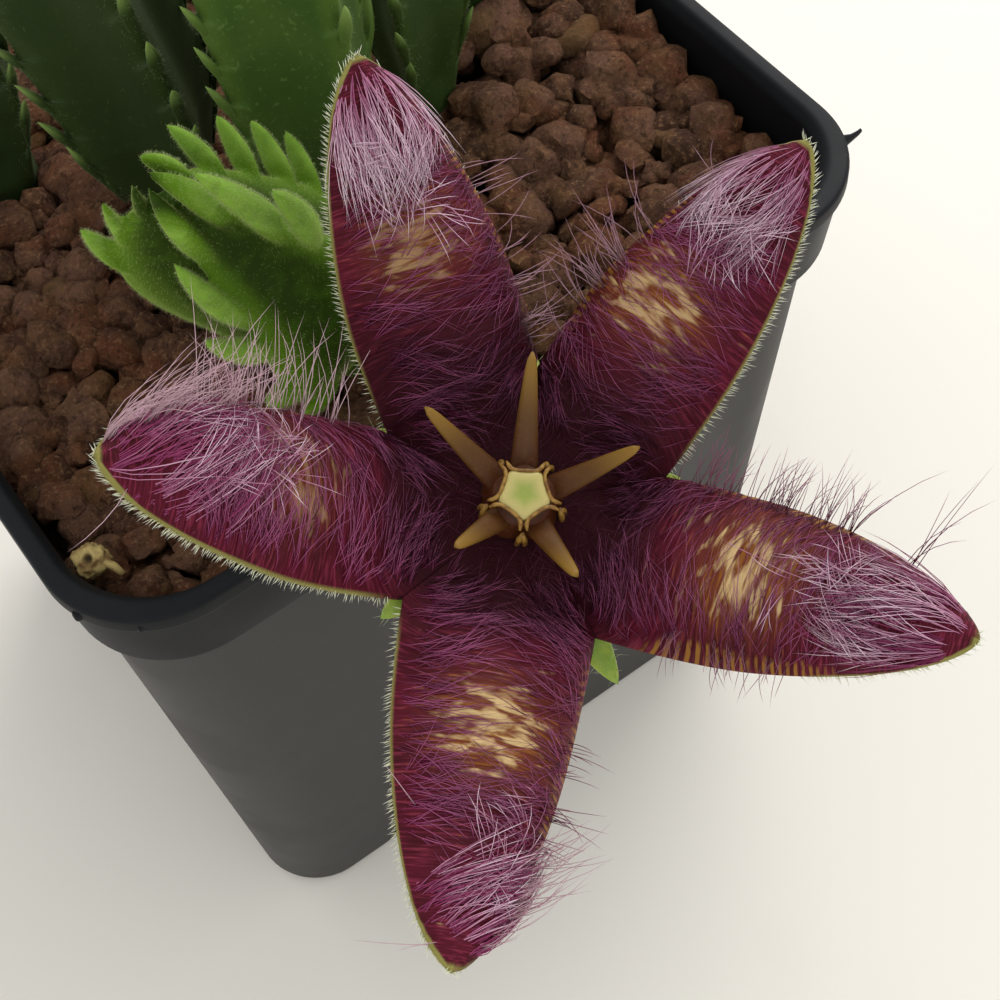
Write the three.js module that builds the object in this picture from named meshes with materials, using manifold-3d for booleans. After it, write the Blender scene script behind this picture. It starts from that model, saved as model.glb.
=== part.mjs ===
// A potted Stapelia gettleffii in flower: a square plastic pot, filled with lava gravel, holds a clump of
// four-angled stems, and the flower hangs over the front rim on a stalk from the youngest shoot.
// Millimetres, +Z up. The origin is the centre of the pot's underside. +X runs along the pot's front side,
// and +Y from the front side to the back.

import * as THREE from 'three';
import { mergeVertices } from 'three/addons/utils/BufferGeometryUtils.js';
import Module from 'manifold-3d';

const wasm = await Module();
wasm.setup();

// Pot: half widths of its square sections, and heights
const POT_HALF = 65;
const POT_HEIGHT = 130;
const POT_CORNER = 16;
const LIP_WIDTH = 2.4;
const LIP_BEVEL = 0.5;
const COLLAR_DEPTH = 15;
const COLLAR_FOOT_HALF = 63.2;
const INNER_LEDGE = 115.6;
const INNER_LEDGE_RISE = 1.4;
const BODY_TOP_HALF = 61.3;
const BODY_FOOT_HALF = 52.3;
const FOOT_BEVEL = 1.2;
const WALL = 1.4;
const FLOOR = 2.2;
const CORNER_STEPS = 6;
const DRAIN_RADIUS = 4;
const DRAIN_RING = 34;
const DRAIN_COUNT = 8;
const MOULD_NUBS = [
  { x: 64.7, y: -55.5, size: 2.4 },
  { x: -63.7, y: -55.2, size: 1.3 },
  { x: -58.2, y: -61.9, size: 1.3 },
];

// Gap between pieces that rest on each other
const GAP = 0.3;

// Soil: the bed's surface rises towards the middle of the right side
const SOIL_LEVEL = 119.5;
const SOIL_RISE = 4.5;
const GRAIN_RADIUS = 5.3;
const GRAIN_SPREAD = 1;
const GRAINS_PER_SIDE = 13;
const GRAIN_SEED = 11;
const BED_SINK = 1.2;
const PALE_GRAIN = { x: -56, y: -46.5, low: 123.45, radius: 3.4 };

// Stems: a round foot stands in the soil, and four ribs with teeth rise above it
const FOOT_RADIUS = 5;
const FOOT_DEPTH = 14;
const FOOT_RISE = 6.5;
const STEM_SIDES = 16;
const STEMS = [
  { name: 'stem_left', x: -15.5, y: 5.5, lean: [-0.17, 0.07], length: 92, rib: 12, tooth: 4.2, roll: 8 },
  { name: 'stem_middle', x: 3, y: -8.5, lean: [-0.06, -0.01], length: 104, rib: 12.5, tooth: 4.2, roll: 12 },
  { name: 'stem_right', x: 25, y: -2, lean: [0.04, 0.1], length: 84, rib: 8.5, tooth: 3.8, roll: 50 },
  { name: 'stem_back', x: 43.5, y: 10, lean: [0.2, 0.14], length: 66, rib: 8, tooth: 3.8, roll: 40 },
  { name: 'stem_corner', x: -34, y: 27, lean: [-0.12, 0.14], length: 76, rib: 9, tooth: 3.8, roll: 30 },
];
const TOOTH_PERIOD = 9;

// Young shoot: short, wide at the crown, with long leaf rudiments
const SHOOT = { x: -9.5, y: -37.5, lean: [-0.54, -0.12], knee: 0.12, length: 60, rib: 15, leaf: 8.5, roll: 55 };
const SHOOT_TIERS = 6;
const SHOOT_RINGS = 8;
const SHOOT_HOLLOW = [0.62, 0.5];
const LEAF_RADIUS = 2.1;

// Flower: where it sits, which way it faces, and its five lobes. The azimuth is counted from the flower's
// right. half is the flattened half width of each side, and fold is how far its margin turns back, in
// radians: first the clockwise side, then the other.
const FLOWER_CENTRE = new THREE.Vector3(-17.3, -89.1, 150.8);
const FLOWER_FACING = new THREE.Vector3(-0.1, -0.36, 0.93);
const FLOWER_RIGHT = new THREE.Vector3(0.82, -0.56, -0.13);
const LOBES = [
  { azimuth: -99, reach: 51.8, rise: 14, half: [12, 15], fold: [0.55, 1.4] },
  { azimuth: -22, reach: 48.7, rise: 22, half: [13, 15.5], fold: [1.1, 1.3] },
  { azimuth: 51, reach: 49.2, rise: 16, half: [11.4, 15], fold: [0.5, 1.4] },
  { azimuth: 113, reach: 49, rise: 20, half: [15, 12.4], fold: [1.4, 0.55] },
  { azimuth: 182, reach: 43.8, rise: 28, half: [15, 11.5], fold: [1.35, 0.55] },
];
const DISC_RADIUS = 15.5;
const DISC_RISE = 4;
const LOBE_ARCH = 0.55;
const SINUS_RADIUS = 17.3;
const SINUS_REACH = 0.35;
const COROLLA_THICKNESS = 1.2;
const DISC_ROWS = 3;
const LOBE_ROWS = 11;
const LOBE_COLUMNS = 10;

// Corona: a column in the middle of the flower, with a horn over each sinus
const COLUMN_FOOT = 4.4;
const COLUMN_TOP = 3.3;
const COLUMN_HEIGHT = 4.6;
const HORNS = [
  { azimuth: -63, reach: 11.5, rise: 11 },
  { azimuth: 19, reach: 12.9, rise: 11 },
  { azimuth: 88, reach: 14.8, rise: 11 },
  { azimuth: 143.5, reach: 14, rise: 11 },
  { azimuth: 222, reach: 10.7, rise: 11 },
];
const HORN_ROOT = 2.2;
const HORN_ROOT_HEIGHT = 2.3;
const HORN_WIDTH = 1.8;
const HORN_DEPTH = 1;
const HEAD_RADIUS = 3.5;
const HEAD_HEIGHT = 1.1;

// Calyx and stalk
const SEPAL_REACH = 20.5;
const SEPAL_WIDTH = 2.7;
const SEPAL_THICKNESS = 0.9;
const RECEPTACLE_RADIUS = 3.8;
const STALK_RADIUS = 2;
const STALK_ROUTE = [
  [-7, -50, 104],
  [-7, -50, 112],
  [-7, -50, 120],
  [-7.2, -51.6, 126.5],
  [-7.8, -55.4, 131],
  [-9.2, -62, 134.8],
  [-12, -71, 137],
  [-14.6, -80, 138.8],
  [-16.2, -85.4, 143.4],
];

const colours = {
  pot: { color: 0x2b2c2e, roughness: 0.45, metalness: 0 },
  soil: { color: 0x6d4034, roughness: 0.95, metalness: 0 },
  paleGrain: { color: 0xb7a468, roughness: 0.9, metalness: 0 },
  stem: { color: 0x33532f, roughness: 0.7, metalness: 0 },
  shoot: { color: 0x74a046, roughness: 0.75, metalness: 0 },
  calyx: { color: 0x8ba655, roughness: 0.7, metalness: 0 },
  corolla: { color: 0x6a1d3c, roughness: 0.6, metalness: 0 },
  corona: { color: 0xbb8645, roughness: 0.5, metalness: 0 },
  head: { color: 0xcbd193, roughness: 0.4, metalness: 0 },
};

const group = new THREE.Group();
const radians = THREE.MathUtils.degToRad;
const vec = (x, y, z) => new THREE.Vector3(x, y, z);

function seeded(seed) {
  let state = seed >>> 0;
  return () => {
    state = (state + 0x6d2b79f5) >>> 0;
    let t = Math.imul(state ^ (state >>> 15), 1 | state);
    t = (t + Math.imul(t ^ (t >>> 7), 61 | t)) ^ t;
    return ((t ^ (t >>> 14)) >>> 0) / 4294967296;
  };
}

// A geometry from a flat list of triangle corners, with shared corners merged
function geometryFrom(corners) {
  const flat = new Float32Array(corners.length * 3);
  corners.forEach((corner, i) => corner.toArray(flat, 3 * i));
  const geometry = new THREE.BufferGeometry();
  geometry.setAttribute('position', new THREE.BufferAttribute(flat, 3));
  return mergeVertices(geometry, 1e-4);
}

// A closed skin through rings of equal count, with a fan of triangles to a point at each end
function loft(rings, first, last) {
  const corners = [];
  const count = rings[0].length;
  for (let i = 0; i < count; i += 1) {
    const j = (i + 1) % count;
    corners.push(first, rings[0][j], rings[0][i]);
    for (let k = 0; k + 1 < rings.length; k += 1) {
      const [a, b, c, d] = [rings[k][i], rings[k][j], rings[k + 1][j], rings[k + 1][i]];
      corners.push(a, b, c, a, c, d);
    }
    corners.push(last, rings.at(-1)[i], rings.at(-1)[j]);
  }
  return geometryFrom(corners);
}

function toSolid(source) {
  let geometry = source.clone();
  geometry.deleteAttribute('normal');
  geometry.deleteAttribute('uv');
  geometry = mergeVertices(geometry, 1e-4);
  return new wasm.Manifold(new wasm.Mesh({
    numProp: 3,
    vertProperties: new Float32Array(geometry.attributes.position.array),
    triVerts: new Uint32Array(geometry.index.array),
  }));
}

function toGeometry(solid) {
  const mesh = solid.getMesh();
  const geometry = new THREE.BufferGeometry();
  geometry.setAttribute('position', new THREE.BufferAttribute(Float32Array.from(mesh.vertProperties), 3));
  geometry.setIndex(Array.from(mesh.triVerts));
  return geometry;
}

const fuse = (solids) => solids.reduce((whole, solid) => whole.add(solid));

// The largest closed skin of a fused body. Hollows that the fusing sealed are filled, loose scraps go
function outerSkin(geometry) {
  const index = Array.from(geometry.index.array);
  const place = geometry.attributes.position;
  const parent = Array.from({ length: place.count }, (_, i) => i);
  const root = (i) => {
    let top = i;
    while (parent[top] !== top) {
      parent[top] = parent[parent[top]];
      top = parent[top];
    }
    return top;
  };
  for (let k = 0; k < index.length; k += 3) {
    parent[root(index[k + 1])] = root(index[k]);
    parent[root(index[k + 2])] = root(index[k]);
  }
  const volumes = new Map();
  const corner = (k) => new THREE.Vector3().fromBufferAttribute(place, index[k]);
  for (let k = 0; k < index.length; k += 3) {
    const skin = root(index[k]);
    const volume = corner(k).dot(corner(k + 1).cross(corner(k + 2)));
    volumes.set(skin, (volumes.get(skin) || 0) + volume);
  }
  const [largest] = [...volumes].reduce((best, entry) => (entry[1] > best[1] ? entry : best));
  const kept = index.filter((_, k) => root(index[k - (k % 3)]) === largest);
  geometry.setIndex(kept);
  return geometry;
}

function addMesh(parent, name, geometry, colour) {
  geometry.computeVertexNormals();
  const mesh = new THREE.Mesh(geometry, new THREE.MeshStandardMaterial(colour));
  mesh.name = name;
  parent.add(mesh);
}

// A square with round corners, anticlockwise seen from above
function squareRing(half, z, heightAt = () => z) {
  const corner = Math.max(POT_CORNER - (POT_HALF - half) * 0.35, 4);
  const points = [];
  for (let side = 0; side < 4; side += 1) {
    const turn = side * Math.PI / 2;
    const [cx, cy] = [half - corner, half - corner];
    for (let k = 0; k <= CORNER_STEPS; k += 1) {
      const angle = k / CORNER_STEPS * Math.PI / 2;
      const [px, py] = [cx + corner * Math.cos(angle), cy + corner * Math.sin(angle)];
      const x = px * Math.cos(turn) - py * Math.sin(turn);
      const y = px * Math.sin(turn) + py * Math.cos(turn);
      points.push(vec(x, y, heightAt(x, y)));
    }
  }
  return points;
}

function circleRing(centre, radius, sides, u, v) {
  return Array.from({ length: sides }, (_, k) => {
    const angle = k / sides * 2 * Math.PI;
    const [across, along] = [radius * Math.cos(angle), radius * Math.sin(angle)];
    return centre.clone().addScaledVector(u, across).addScaledVector(v, along);
  });
}

// Half width of the pot's inside at a height
function insideHalf(z) {
  const slope = (BODY_TOP_HALF - BODY_FOOT_HALF) / (POT_HEIGHT - COLLAR_DEPTH - FOOT_BEVEL);
  return z <= INNER_LEDGE ? BODY_FOOT_HALF - WALL + slope * (z - FOOT_BEVEL) : BODY_TOP_HALF;
}

function potGeometry() {
  const collarFoot = POT_HEIGHT - COLLAR_DEPTH;
  const lipInside = POT_HALF - LIP_WIDTH;
  const sections = [
    [BODY_FOOT_HALF - FOOT_BEVEL, 0],
    [BODY_FOOT_HALF, FOOT_BEVEL],
    [BODY_TOP_HALF, collarFoot],
    [COLLAR_FOOT_HALF, collarFoot],
    [COLLAR_FOOT_HALF + 1.2, POT_HEIGHT - 3.4],
    [POT_HALF, POT_HEIGHT - 2.8],
    [POT_HALF, POT_HEIGHT - LIP_BEVEL],
    [POT_HALF - LIP_BEVEL, POT_HEIGHT],
    [lipInside, POT_HEIGHT],
    [lipInside - LIP_BEVEL, POT_HEIGHT - 1.2],
    [BODY_TOP_HALF, INNER_LEDGE + INNER_LEDGE_RISE],
    [insideHalf(INNER_LEDGE), INNER_LEDGE],
    [insideHalf(FLOOR), FLOOR],
  ];
  const rings = sections.map(([half, z]) => squareRing(half, z));
  const nubs = MOULD_NUBS.map(({ x, y, size }) => {
    const nub = new THREE.BoxGeometry(size, size, size);
    nub.translate(x, y, POT_HEIGHT - 1.6);
    return toSolid(nub);
  });
  const drains = Array.from({ length: DRAIN_COUNT }, (_, k) => {
    const angle = k / DRAIN_COUNT * 2 * Math.PI;
    const centre = vec(DRAIN_RING * Math.cos(angle), DRAIN_RING * Math.sin(angle), -1);
    const top = centre.clone().setZ(FLOOR + 1);
    const [u, v] = [vec(1, 0, 0), vec(0, 1, 0)];
    return toSolid(loft([circleRing(centre, DRAIN_RADIUS, 10, u, v), circleRing(top, DRAIN_RADIUS, 10, u, v)],
      centre, top));
  });
  const shell = toSolid(loft(rings, vec(0, 0, 0), vec(0, 0, FLOOR)));
  return toGeometry(fuse([shell, ...nubs]).subtract(fuse(drains)));
}

const smooth = (t) => THREE.MathUtils.smoothstep(t, 0, 1);
const soilSurface = (x, y) => SOIL_LEVEL + SOIL_RISE * smooth((x - 5) / 50) * smooth((y + 42) / 45);

// Depth of a point inside the rounded square that the soil fills, measured from its edge
function depthInside(x, y, half) {
  const [dx, dy] = [Math.abs(x) - half + POT_CORNER, Math.abs(y) - half + POT_CORNER];
  return POT_CORNER - Math.hypot(Math.max(dx, 0), Math.max(dy, 0)) - Math.min(Math.max(dx, dy), 0);
}

function grainSolid(random, radius) {
  let grain = new THREE.OctahedronGeometry(radius, 0);
  grain.deleteAttribute('normal');
  grain.deleteAttribute('uv');
  grain = mergeVertices(grain, 1e-4);
  const corners = grain.attributes.position;
  for (let i = 0; i < corners.count; i += 1) {
    const swell = 0.82 + 0.36 * random();
    corners.setXYZ(i, corners.getX(i) * swell, corners.getY(i) * swell, corners.getZ(i) * swell);
  }
  grain.rotateX(random() * Math.PI);
  grain.rotateY(random() * Math.PI);
  return grain;
}

// The bed is a block under the surface, and the grains stand half out of it on a jittered grid
function soilGeometry(holes) {
  const random = seeded(GRAIN_SEED);
  const bedTop = (x, y) => soilSurface(x, y) - BED_SINK;
  const edge = insideHalf(POT_HEIGHT) - GAP;
  const bed = loft([
    squareRing(insideHalf(FLOOR) - GAP, FLOOR + GAP),
    squareRing(insideHalf(INNER_LEDGE) - GAP, INNER_LEDGE),
    squareRing(edge, INNER_LEDGE + INNER_LEDGE_RISE + GAP),
    squareRing(edge, 0, bedTop),
    squareRing(40, 0, bedTop),
    squareRing(20, 0, bedTop),
  ], vec(0, 0, FLOOR + GAP), vec(0, 0, bedTop(0, 0)));
  const solids = [toSolid(bed)];
  const step = 2 * (edge - GRAIN_RADIUS) / (GRAINS_PER_SIDE - 1);
  for (let i = 0; i < GRAINS_PER_SIDE; i += 1) {
    for (let j = 0; j < GRAINS_PER_SIDE; j += 1) {
      const radius = GRAIN_RADIUS + GRAIN_SPREAD * (random() - 0.5);
      const grain = grainSolid(random, radius);
      let x = (i - (GRAINS_PER_SIDE - 1) / 2) * step + (random() - 0.5) * step * 0.45;
      let y = (j - (GRAINS_PER_SIDE - 1) / 2) * step + (random() - 0.5) * step * 0.45;
      const lift = (random() - 0.35) * 1.6;
      const limit = edge - 1.15 * radius - GAP;
      x = THREE.MathUtils.clamp(x, -limit, limit);
      y = THREE.MathUtils.clamp(y, -limit, limit);
      const short = 1.15 * radius - depthInside(x, y, edge);
      if (short > 0) {
        const pull = 1 - short * 1.2 / Math.hypot(x, y);
        x *= pull;
        y *= pull;
      }
      grain.translate(x, y, soilSurface(x, y) + lift);
      solids.push(toSolid(grain));
    }
  }
  return outerSkin(toGeometry(fuse(solids).subtract(fuse(holes))));
}

// The middle line of a stem: upright at the foot, then turning evenly towards its lean
function stemLine({ x, y, lean, length, knee = 0.3 }) {
  const foot = vec(x, y, soilSurface(x, y) + FOOT_RISE);
  const heading = vec(lean[0], lean[1], 1).normalize();
  const bend = foot.clone().add(vec(0, 0, length * knee));
  return new THREE.QuadraticBezierCurve3(foot, bend, foot.clone().addScaledVector(heading, length));
}

function frameAt(curve, t) {
  const along = curve.getTangent(t).normalize();
  const u = vec(1, 0, 0).addScaledVector(along, -along.x).normalize();
  return { centre: curve.getPoint(t), along, u, v: along.clone().cross(u) };
}

// A four-ribbed ring: ribs every quarter turn, hollow faces between them
function ribbedRing(frame, rib, roll, out, up, hollow = [0.72, 0.62]) {
  return Array.from({ length: STEM_SIDES }, (_, k) => {
    const angle = k / STEM_SIDES * 2 * Math.PI + radians(roll);
    const place = k % 4;
    const radius = rib * [1, hollow[0], hollow[1], hollow[0]][place];
    const tooth = place === 0 ? [out[(k / 4) % 2], up[(k / 4) % 2]] : [0, 0];
    return frame.centre.clone()
      .addScaledVector(frame.u, (radius + tooth[0]) * Math.cos(angle))
      .addScaledVector(frame.v, (radius + tooth[0]) * Math.sin(angle))
      .addScaledVector(frame.along, tooth[1]);
  });
}

// The round foot's rings, from inside the soil to where the ribs begin
function footRings(curve) {
  const base = curve.getPoint(0);
  const [u, v] = [vec(1, 0, 0), vec(0, 1, 0)];
  return [-FOOT_DEPTH - FOOT_RISE, -FOOT_RISE + 4].map((dz) =>
    circleRing(base.clone().add(vec(0, 0, dz)), FOOT_RADIUS, STEM_SIDES, u, v));
}

// How the ribs widen from the foot and close at the tip
const stemSwell = (t) => Math.min(1, 0.68 + 1.6 * t) * Math.sqrt(Math.max(1 - Math.pow(t, 9), 0));

function stemGeometry(stem) {
  const curve = stemLine(stem);
  const steps = 2 * Math.round(stem.length / TOOTH_PERIOD);
  const rings = footRings(curve);
  for (let k = 0; k < steps; k += 1) {
    const t = k / steps;
    const size = stemSwell(t);
    const [even, odd] = [k % 2, (k + 1) % 2];
    const reach = stem.tooth * Math.min(size, 1 - 0.35 * t);
    const out = [even * reach, odd * reach].map((r) => r * 0.6);
    const up = [even * reach, odd * reach].map((r) => r * 1.1);
    rings.push(ribbedRing(frameAt(curve, t), stem.rib * size, stem.roll, out, up));
  }
  const top = frameAt(curve, 1);
  return loft(rings, curve.getPoint(0).add(vec(0, 0, -FOOT_DEPTH - FOOT_RISE)), top.centre);
}

// A leaf rudiment: a curved cone that leaves the rib outwards and turns up
function leafSolid(root, outward, along, length, radius) {
  const bend = root.clone().addScaledVector(outward, length * 0.34).addScaledVector(along, length * 0.4);
  const tip = root.clone().addScaledVector(outward, length * 0.42).addScaledVector(along, length * 0.95);
  const start = root.clone().addScaledVector(outward, -radius * 1.4).addScaledVector(along, -radius * 0.9);
  const side = outward.clone().cross(along).normalize();
  const normal = outward.clone().multiplyScalar(-0.6).add(along).normalize();
  const rings = [[start, 1.15], [bend, 0.85]].map(([centre, scale]) =>
    circleRing(centre, radius * scale, 5, side, normal.clone().negate()));
  return toSolid(loft(rings, start.clone(), tip));
}

// The shoot widens towards its middle and rounds off at the crown
function shootSwell(t) {
  return THREE.MathUtils.lerp(0.5, 1, smooth(t / 0.45)) * Math.sqrt(Math.max(1 - Math.pow(t, 2.6), 0));
}

// The young shoot: wide ribs close to the crown, each tier with a pair of leaf rudiments
function shootGeometry() {
  const curve = stemLine(SHOOT);
  const rings = footRings(curve);
  for (let k = 0; k < SHOOT_RINGS; k += 1) {
    const t = k / SHOOT_RINGS;
    const rib = SHOOT.rib * shootSwell(t);
    rings.push(ribbedRing(frameAt(curve, t), rib, SHOOT.roll, [0, 0], [0, 0], SHOOT_HOLLOW));
  }
  const footEnd = curve.getPoint(0).add(vec(0, 0, -FOOT_DEPTH - FOOT_RISE));
  const solids = [toSolid(loft(rings, footEnd, curve.getPoint(0.96)))];
  for (let tier = 0; tier < SHOOT_TIERS; tier += 1) {
    for (let rib = 0; rib < 4; rib += 1) {
      const t = 0.1 + 0.83 * Math.pow((tier + 0.5 * (rib % 2)) / (SHOOT_TIERS - 0.5), 0.85);
      const frame = frameAt(curve, t);
      const angle = rib * Math.PI / 2 + radians(SHOOT.roll);
      const outward = frame.u.clone().multiplyScalar(Math.cos(angle)).addScaledVector(frame.v, Math.sin(angle));
      const root = frame.centre.clone().addScaledVector(outward, SHOOT.rib * shootSwell(t) * 0.93);
      const length = SHOOT.leaf * (0.7 + 0.3 * smooth(t / 0.4) - 0.4 * smooth((t - 0.6) / 0.4));
      solids.push(leafSolid(root, outward, frame.along, length, LEAF_RADIUS * (1.1 - 0.45 * t)));
    }
  }
  return toGeometry(fuse(solids));
}

// One lobe's frame at a share t of its length beyond the disc, in the flower's own axes
function lobeFrame(lobe, t) {
  const azimuth = radians(lobe.azimuth);
  const run = lobe.reach - DISC_RADIUS;
  const climb = lobe.rise - DISC_RISE;
  const outward = vec(Math.cos(azimuth), Math.sin(azimuth), 0);
  const side = vec(-Math.sin(azimuth), Math.cos(azimuth), 0);
  const height = DISC_RISE + climb * ((1 - LOBE_ARCH) * t + LOBE_ARCH * Math.sin(t * Math.PI / 2));
  const slope = climb * (1 - LOBE_ARCH + LOBE_ARCH * Math.cos(t * Math.PI / 2) * Math.PI / 2);
  const along = outward.clone().multiplyScalar(run).add(vec(0, 0, slope)).normalize();
  const centre = outward.clone().multiplyScalar(DISC_RADIUS + run * t).setZ(height);
  return { centre, side, normal: along.clone().cross(side) };
}

const lobeTaper = (t) => Math.pow(Math.max(1 - Math.pow(t, 1.7), 0), 0.62);

// A point of the lobe before its foot is drawn to the sinuses: an arc across, tighter where it folds back
function lobeArc(lobe, t, across) {
  const { centre, side, normal } = lobeFrame(lobe, t);
  const flank = across < 0 ? 0 : 1;
  const fold = lobe.fold[flank];
  const width = lobe.half[flank] * lobeTaper(t);
  return centre.addScaledVector(side, width * Math.sin(fold * across) / fold)
    .addScaledVector(normal, -width * (1 - Math.cos(fold * across)) / fold);
}

// The sinus between a lobe and its neighbour lies between their two foot corners, a set way out
const sinuses = LOBES.map((lobe, i) => {
  const next = LOBES[(i + 1) % LOBES.length];
  const sinus = lobeArc(lobe, 0, 1).add(lobeArc(next, 0, -1)).multiplyScalar(0.5);
  return sinus.multiply(vec(1, 1, 0)).setLength(SINUS_RADIUS).setZ(sinus.z);
});

function lobePoint(index, t, across) {
  const lobe = LOBES[index];
  const sinus = across < 0 ? sinuses[(index + LOBES.length - 1) % LOBES.length] : sinuses[index];
  const pull = sinus.clone().sub(lobeArc(lobe, 0, Math.sign(across) || 1));
  const share = Math.pow(Math.max(1 - t / SINUS_REACH, 0), 2) * Math.pow(Math.abs(across), 3);
  return lobeArc(lobe, t, across).addScaledVector(pull, share);
}

// The disc is the lobe's foot drawn in to the middle, as a shallow bowl
function discPoint(index, share, across) {
  const foot = lobePoint(index, 0, across);
  return vec(foot.x * share, foot.y * share, foot.z * share * share);
}

function corollaPoint(index, row, column) {
  const across = 2 * column / LOBE_COLUMNS - 1;
  if (row <= DISC_ROWS) {
    return discPoint(index, row / DISC_ROWS, across);
  }
  return lobePoint(index, (row - DISC_ROWS) / LOBE_ROWS, across);
}

// Outward normal of the upper face from the differences between neighbouring points
function corollaNormal(index, row, column) {
  const last = DISC_ROWS + LOBE_ROWS;
  const [r0, r1] = [Math.max(row - 1, 0), Math.min(row + 1, last)];
  const [c0, c1] = [Math.max(column - 1, 0), Math.min(column + 1, LOBE_COLUMNS)];
  const outward = corollaPoint(index, r1, column).sub(corollaPoint(index, r0, column));
  const across = corollaPoint(index, row, c1).sub(corollaPoint(index, row, c0));
  return outward.cross(across).normalize();
}

function corollaGeometry() {
  const last = DISC_ROWS + LOBE_ROWS;
  const tipNormal = (i) => corollaNormal(i, last - 1, LOBE_COLUMNS / 2);
  const upper = [];
  const lower = [];
  for (let i = 0; i < LOBES.length; i += 1) {
    upper.push([]);
    lower.push([]);
    for (let row = 0; row <= last; row += 1) {
      upper[i].push([]);
      lower[i].push([]);
      for (let column = 0; column <= LOBE_COLUMNS; column += 1) {
        const point = corollaPoint(i, row, column);
        let normal = corollaNormal(i, row, column);
        if (row === 0) {
          normal = vec(0, 0, 1);
        } else if (row === last) {
          normal = tipNormal(i);
        } else if (row <= DISC_ROWS && column % LOBE_COLUMNS === 0) {
          const neighbour = column === 0 ? (i + LOBES.length - 1) % LOBES.length : (i + 1) % LOBES.length;
          normal.add(corollaNormal(neighbour, row, LOBE_COLUMNS - column)).normalize();
        }
        upper[i][row].push(point);
        lower[i][row].push(point.clone().addScaledVector(normal, -COROLLA_THICKNESS));
      }
    }
  }
  const corners = [];
  for (let i = 0; i < LOBES.length; i += 1) {
    for (let row = 0; row < last; row += 1) {
      for (let column = 0; column < LOBE_COLUMNS; column += 1) {
        const quad = (face) => [face[i][row][column], face[i][row + 1][column],
          face[i][row + 1][column + 1], face[i][row][column + 1]];
        const [a, b, c, d] = quad(upper);
        const [e, f, g, h] = quad(lower);
        corners.push(...(row === 0 ? [a, b, c] : row === last - 1 ? [a, b, d] : [a, b, c, a, c, d]));
        corners.push(...(row === 0 ? [e, g, f] : row === last - 1 ? [e, h, f] : [e, g, f, e, h, g]));
      }
    }
    for (let row = DISC_ROWS; row < last; row += 1) {
      for (const column of [0, LOBE_COLUMNS]) {
        const [a, b] = [upper[i][row][column], upper[i][row + 1][column]];
        const [e, f] = [lower[i][row][column], lower[i][row + 1][column]];
        corners.push(...(column === 0 ? [a, e, f, a, f, b] : [a, f, e, a, b, f]));
      }
    }
  }
  return geometryFrom(corners);
}

// A horn: a flattened six-sided taper that rises from the column and bends outwards
function hornSolid({ azimuth, reach, rise }) {
  const angle = radians(azimuth);
  const outward = vec(Math.cos(angle), Math.sin(angle), 0);
  const side = vec(-Math.sin(angle), Math.cos(angle), 0);
  const at = (r, z) => outward.clone().multiplyScalar(r).setZ(z);
  const curve = new THREE.QuadraticBezierCurve3(at(HORN_ROOT - 1, HORN_ROOT_HEIGHT - 0.6),
    at(reach * 0.5, HORN_ROOT_HEIGHT + 2.6), at(reach, rise));
  const shares = [0, 0.25, 0.5, 0.75, 0.92];
  const rings = shares.map((t) => {
    const size = 1 - 0.82 * Math.pow(t, 1.6);
    const normal = curve.getTangent(t).cross(side).normalize();
    return Array.from({ length: 6 }, (_, k) => curve.getPoint(t)
      .addScaledVector(side, HORN_WIDTH * size * Math.cos(k * Math.PI / 3))
      .addScaledVector(normal, HORN_DEPTH * size * Math.sin(k * Math.PI / 3)));
  });
  return toSolid(loft(rings, curve.getPoint(0), curve.getPoint(1)));
}

function coronaGeometry() {
  const profile = [[0, GAP], [COLUMN_FOOT, GAP + 0.9], [COLUMN_FOOT, 2], [COLUMN_TOP, COLUMN_HEIGHT],
    [0, COLUMN_HEIGHT]];
  const column = new THREE.LatheGeometry(profile.map(([r, z]) => new THREE.Vector2(r, z)), 10);
  column.rotateX(Math.PI / 2);
  return toGeometry(fuse([toSolid(column), ...HORNS.map(hornSolid)]));
}

// The style head: a low five-sided cap whose corners point between the horns
function headGeometry() {
  const ring = (radius, z) => Array.from({ length: 10 }, (_, k) => {
    const angle = radians(HORNS[2].azimuth) + k * Math.PI / 5;
    const reach = radius * (k % 2 === 0 ? 0.84 : 1);
    return vec(reach * Math.cos(angle), reach * Math.sin(angle), z);
  });
  const low = COLUMN_HEIGHT + GAP;
  const high = low + HEAD_HEIGHT;
  const rings = [ring(HEAD_RADIUS, low), ring(HEAD_RADIUS, (low + high) / 2), ring(HEAD_RADIUS * 0.72, high)];
  return loft(rings, vec(0, 0, low), vec(0, 0, high));
}

// The flower's axes: its face looks along FLOWER_FACING
function flowerPlacement() {
  const normal = FLOWER_FACING.clone().normalize();
  const right = FLOWER_RIGHT.clone().addScaledVector(normal, -FLOWER_RIGHT.dot(normal)).normalize();
  const turn = new THREE.Matrix4().makeBasis(right, normal.clone().cross(right), normal);
  return turn.setPosition(FLOWER_CENTRE);
}

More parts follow.
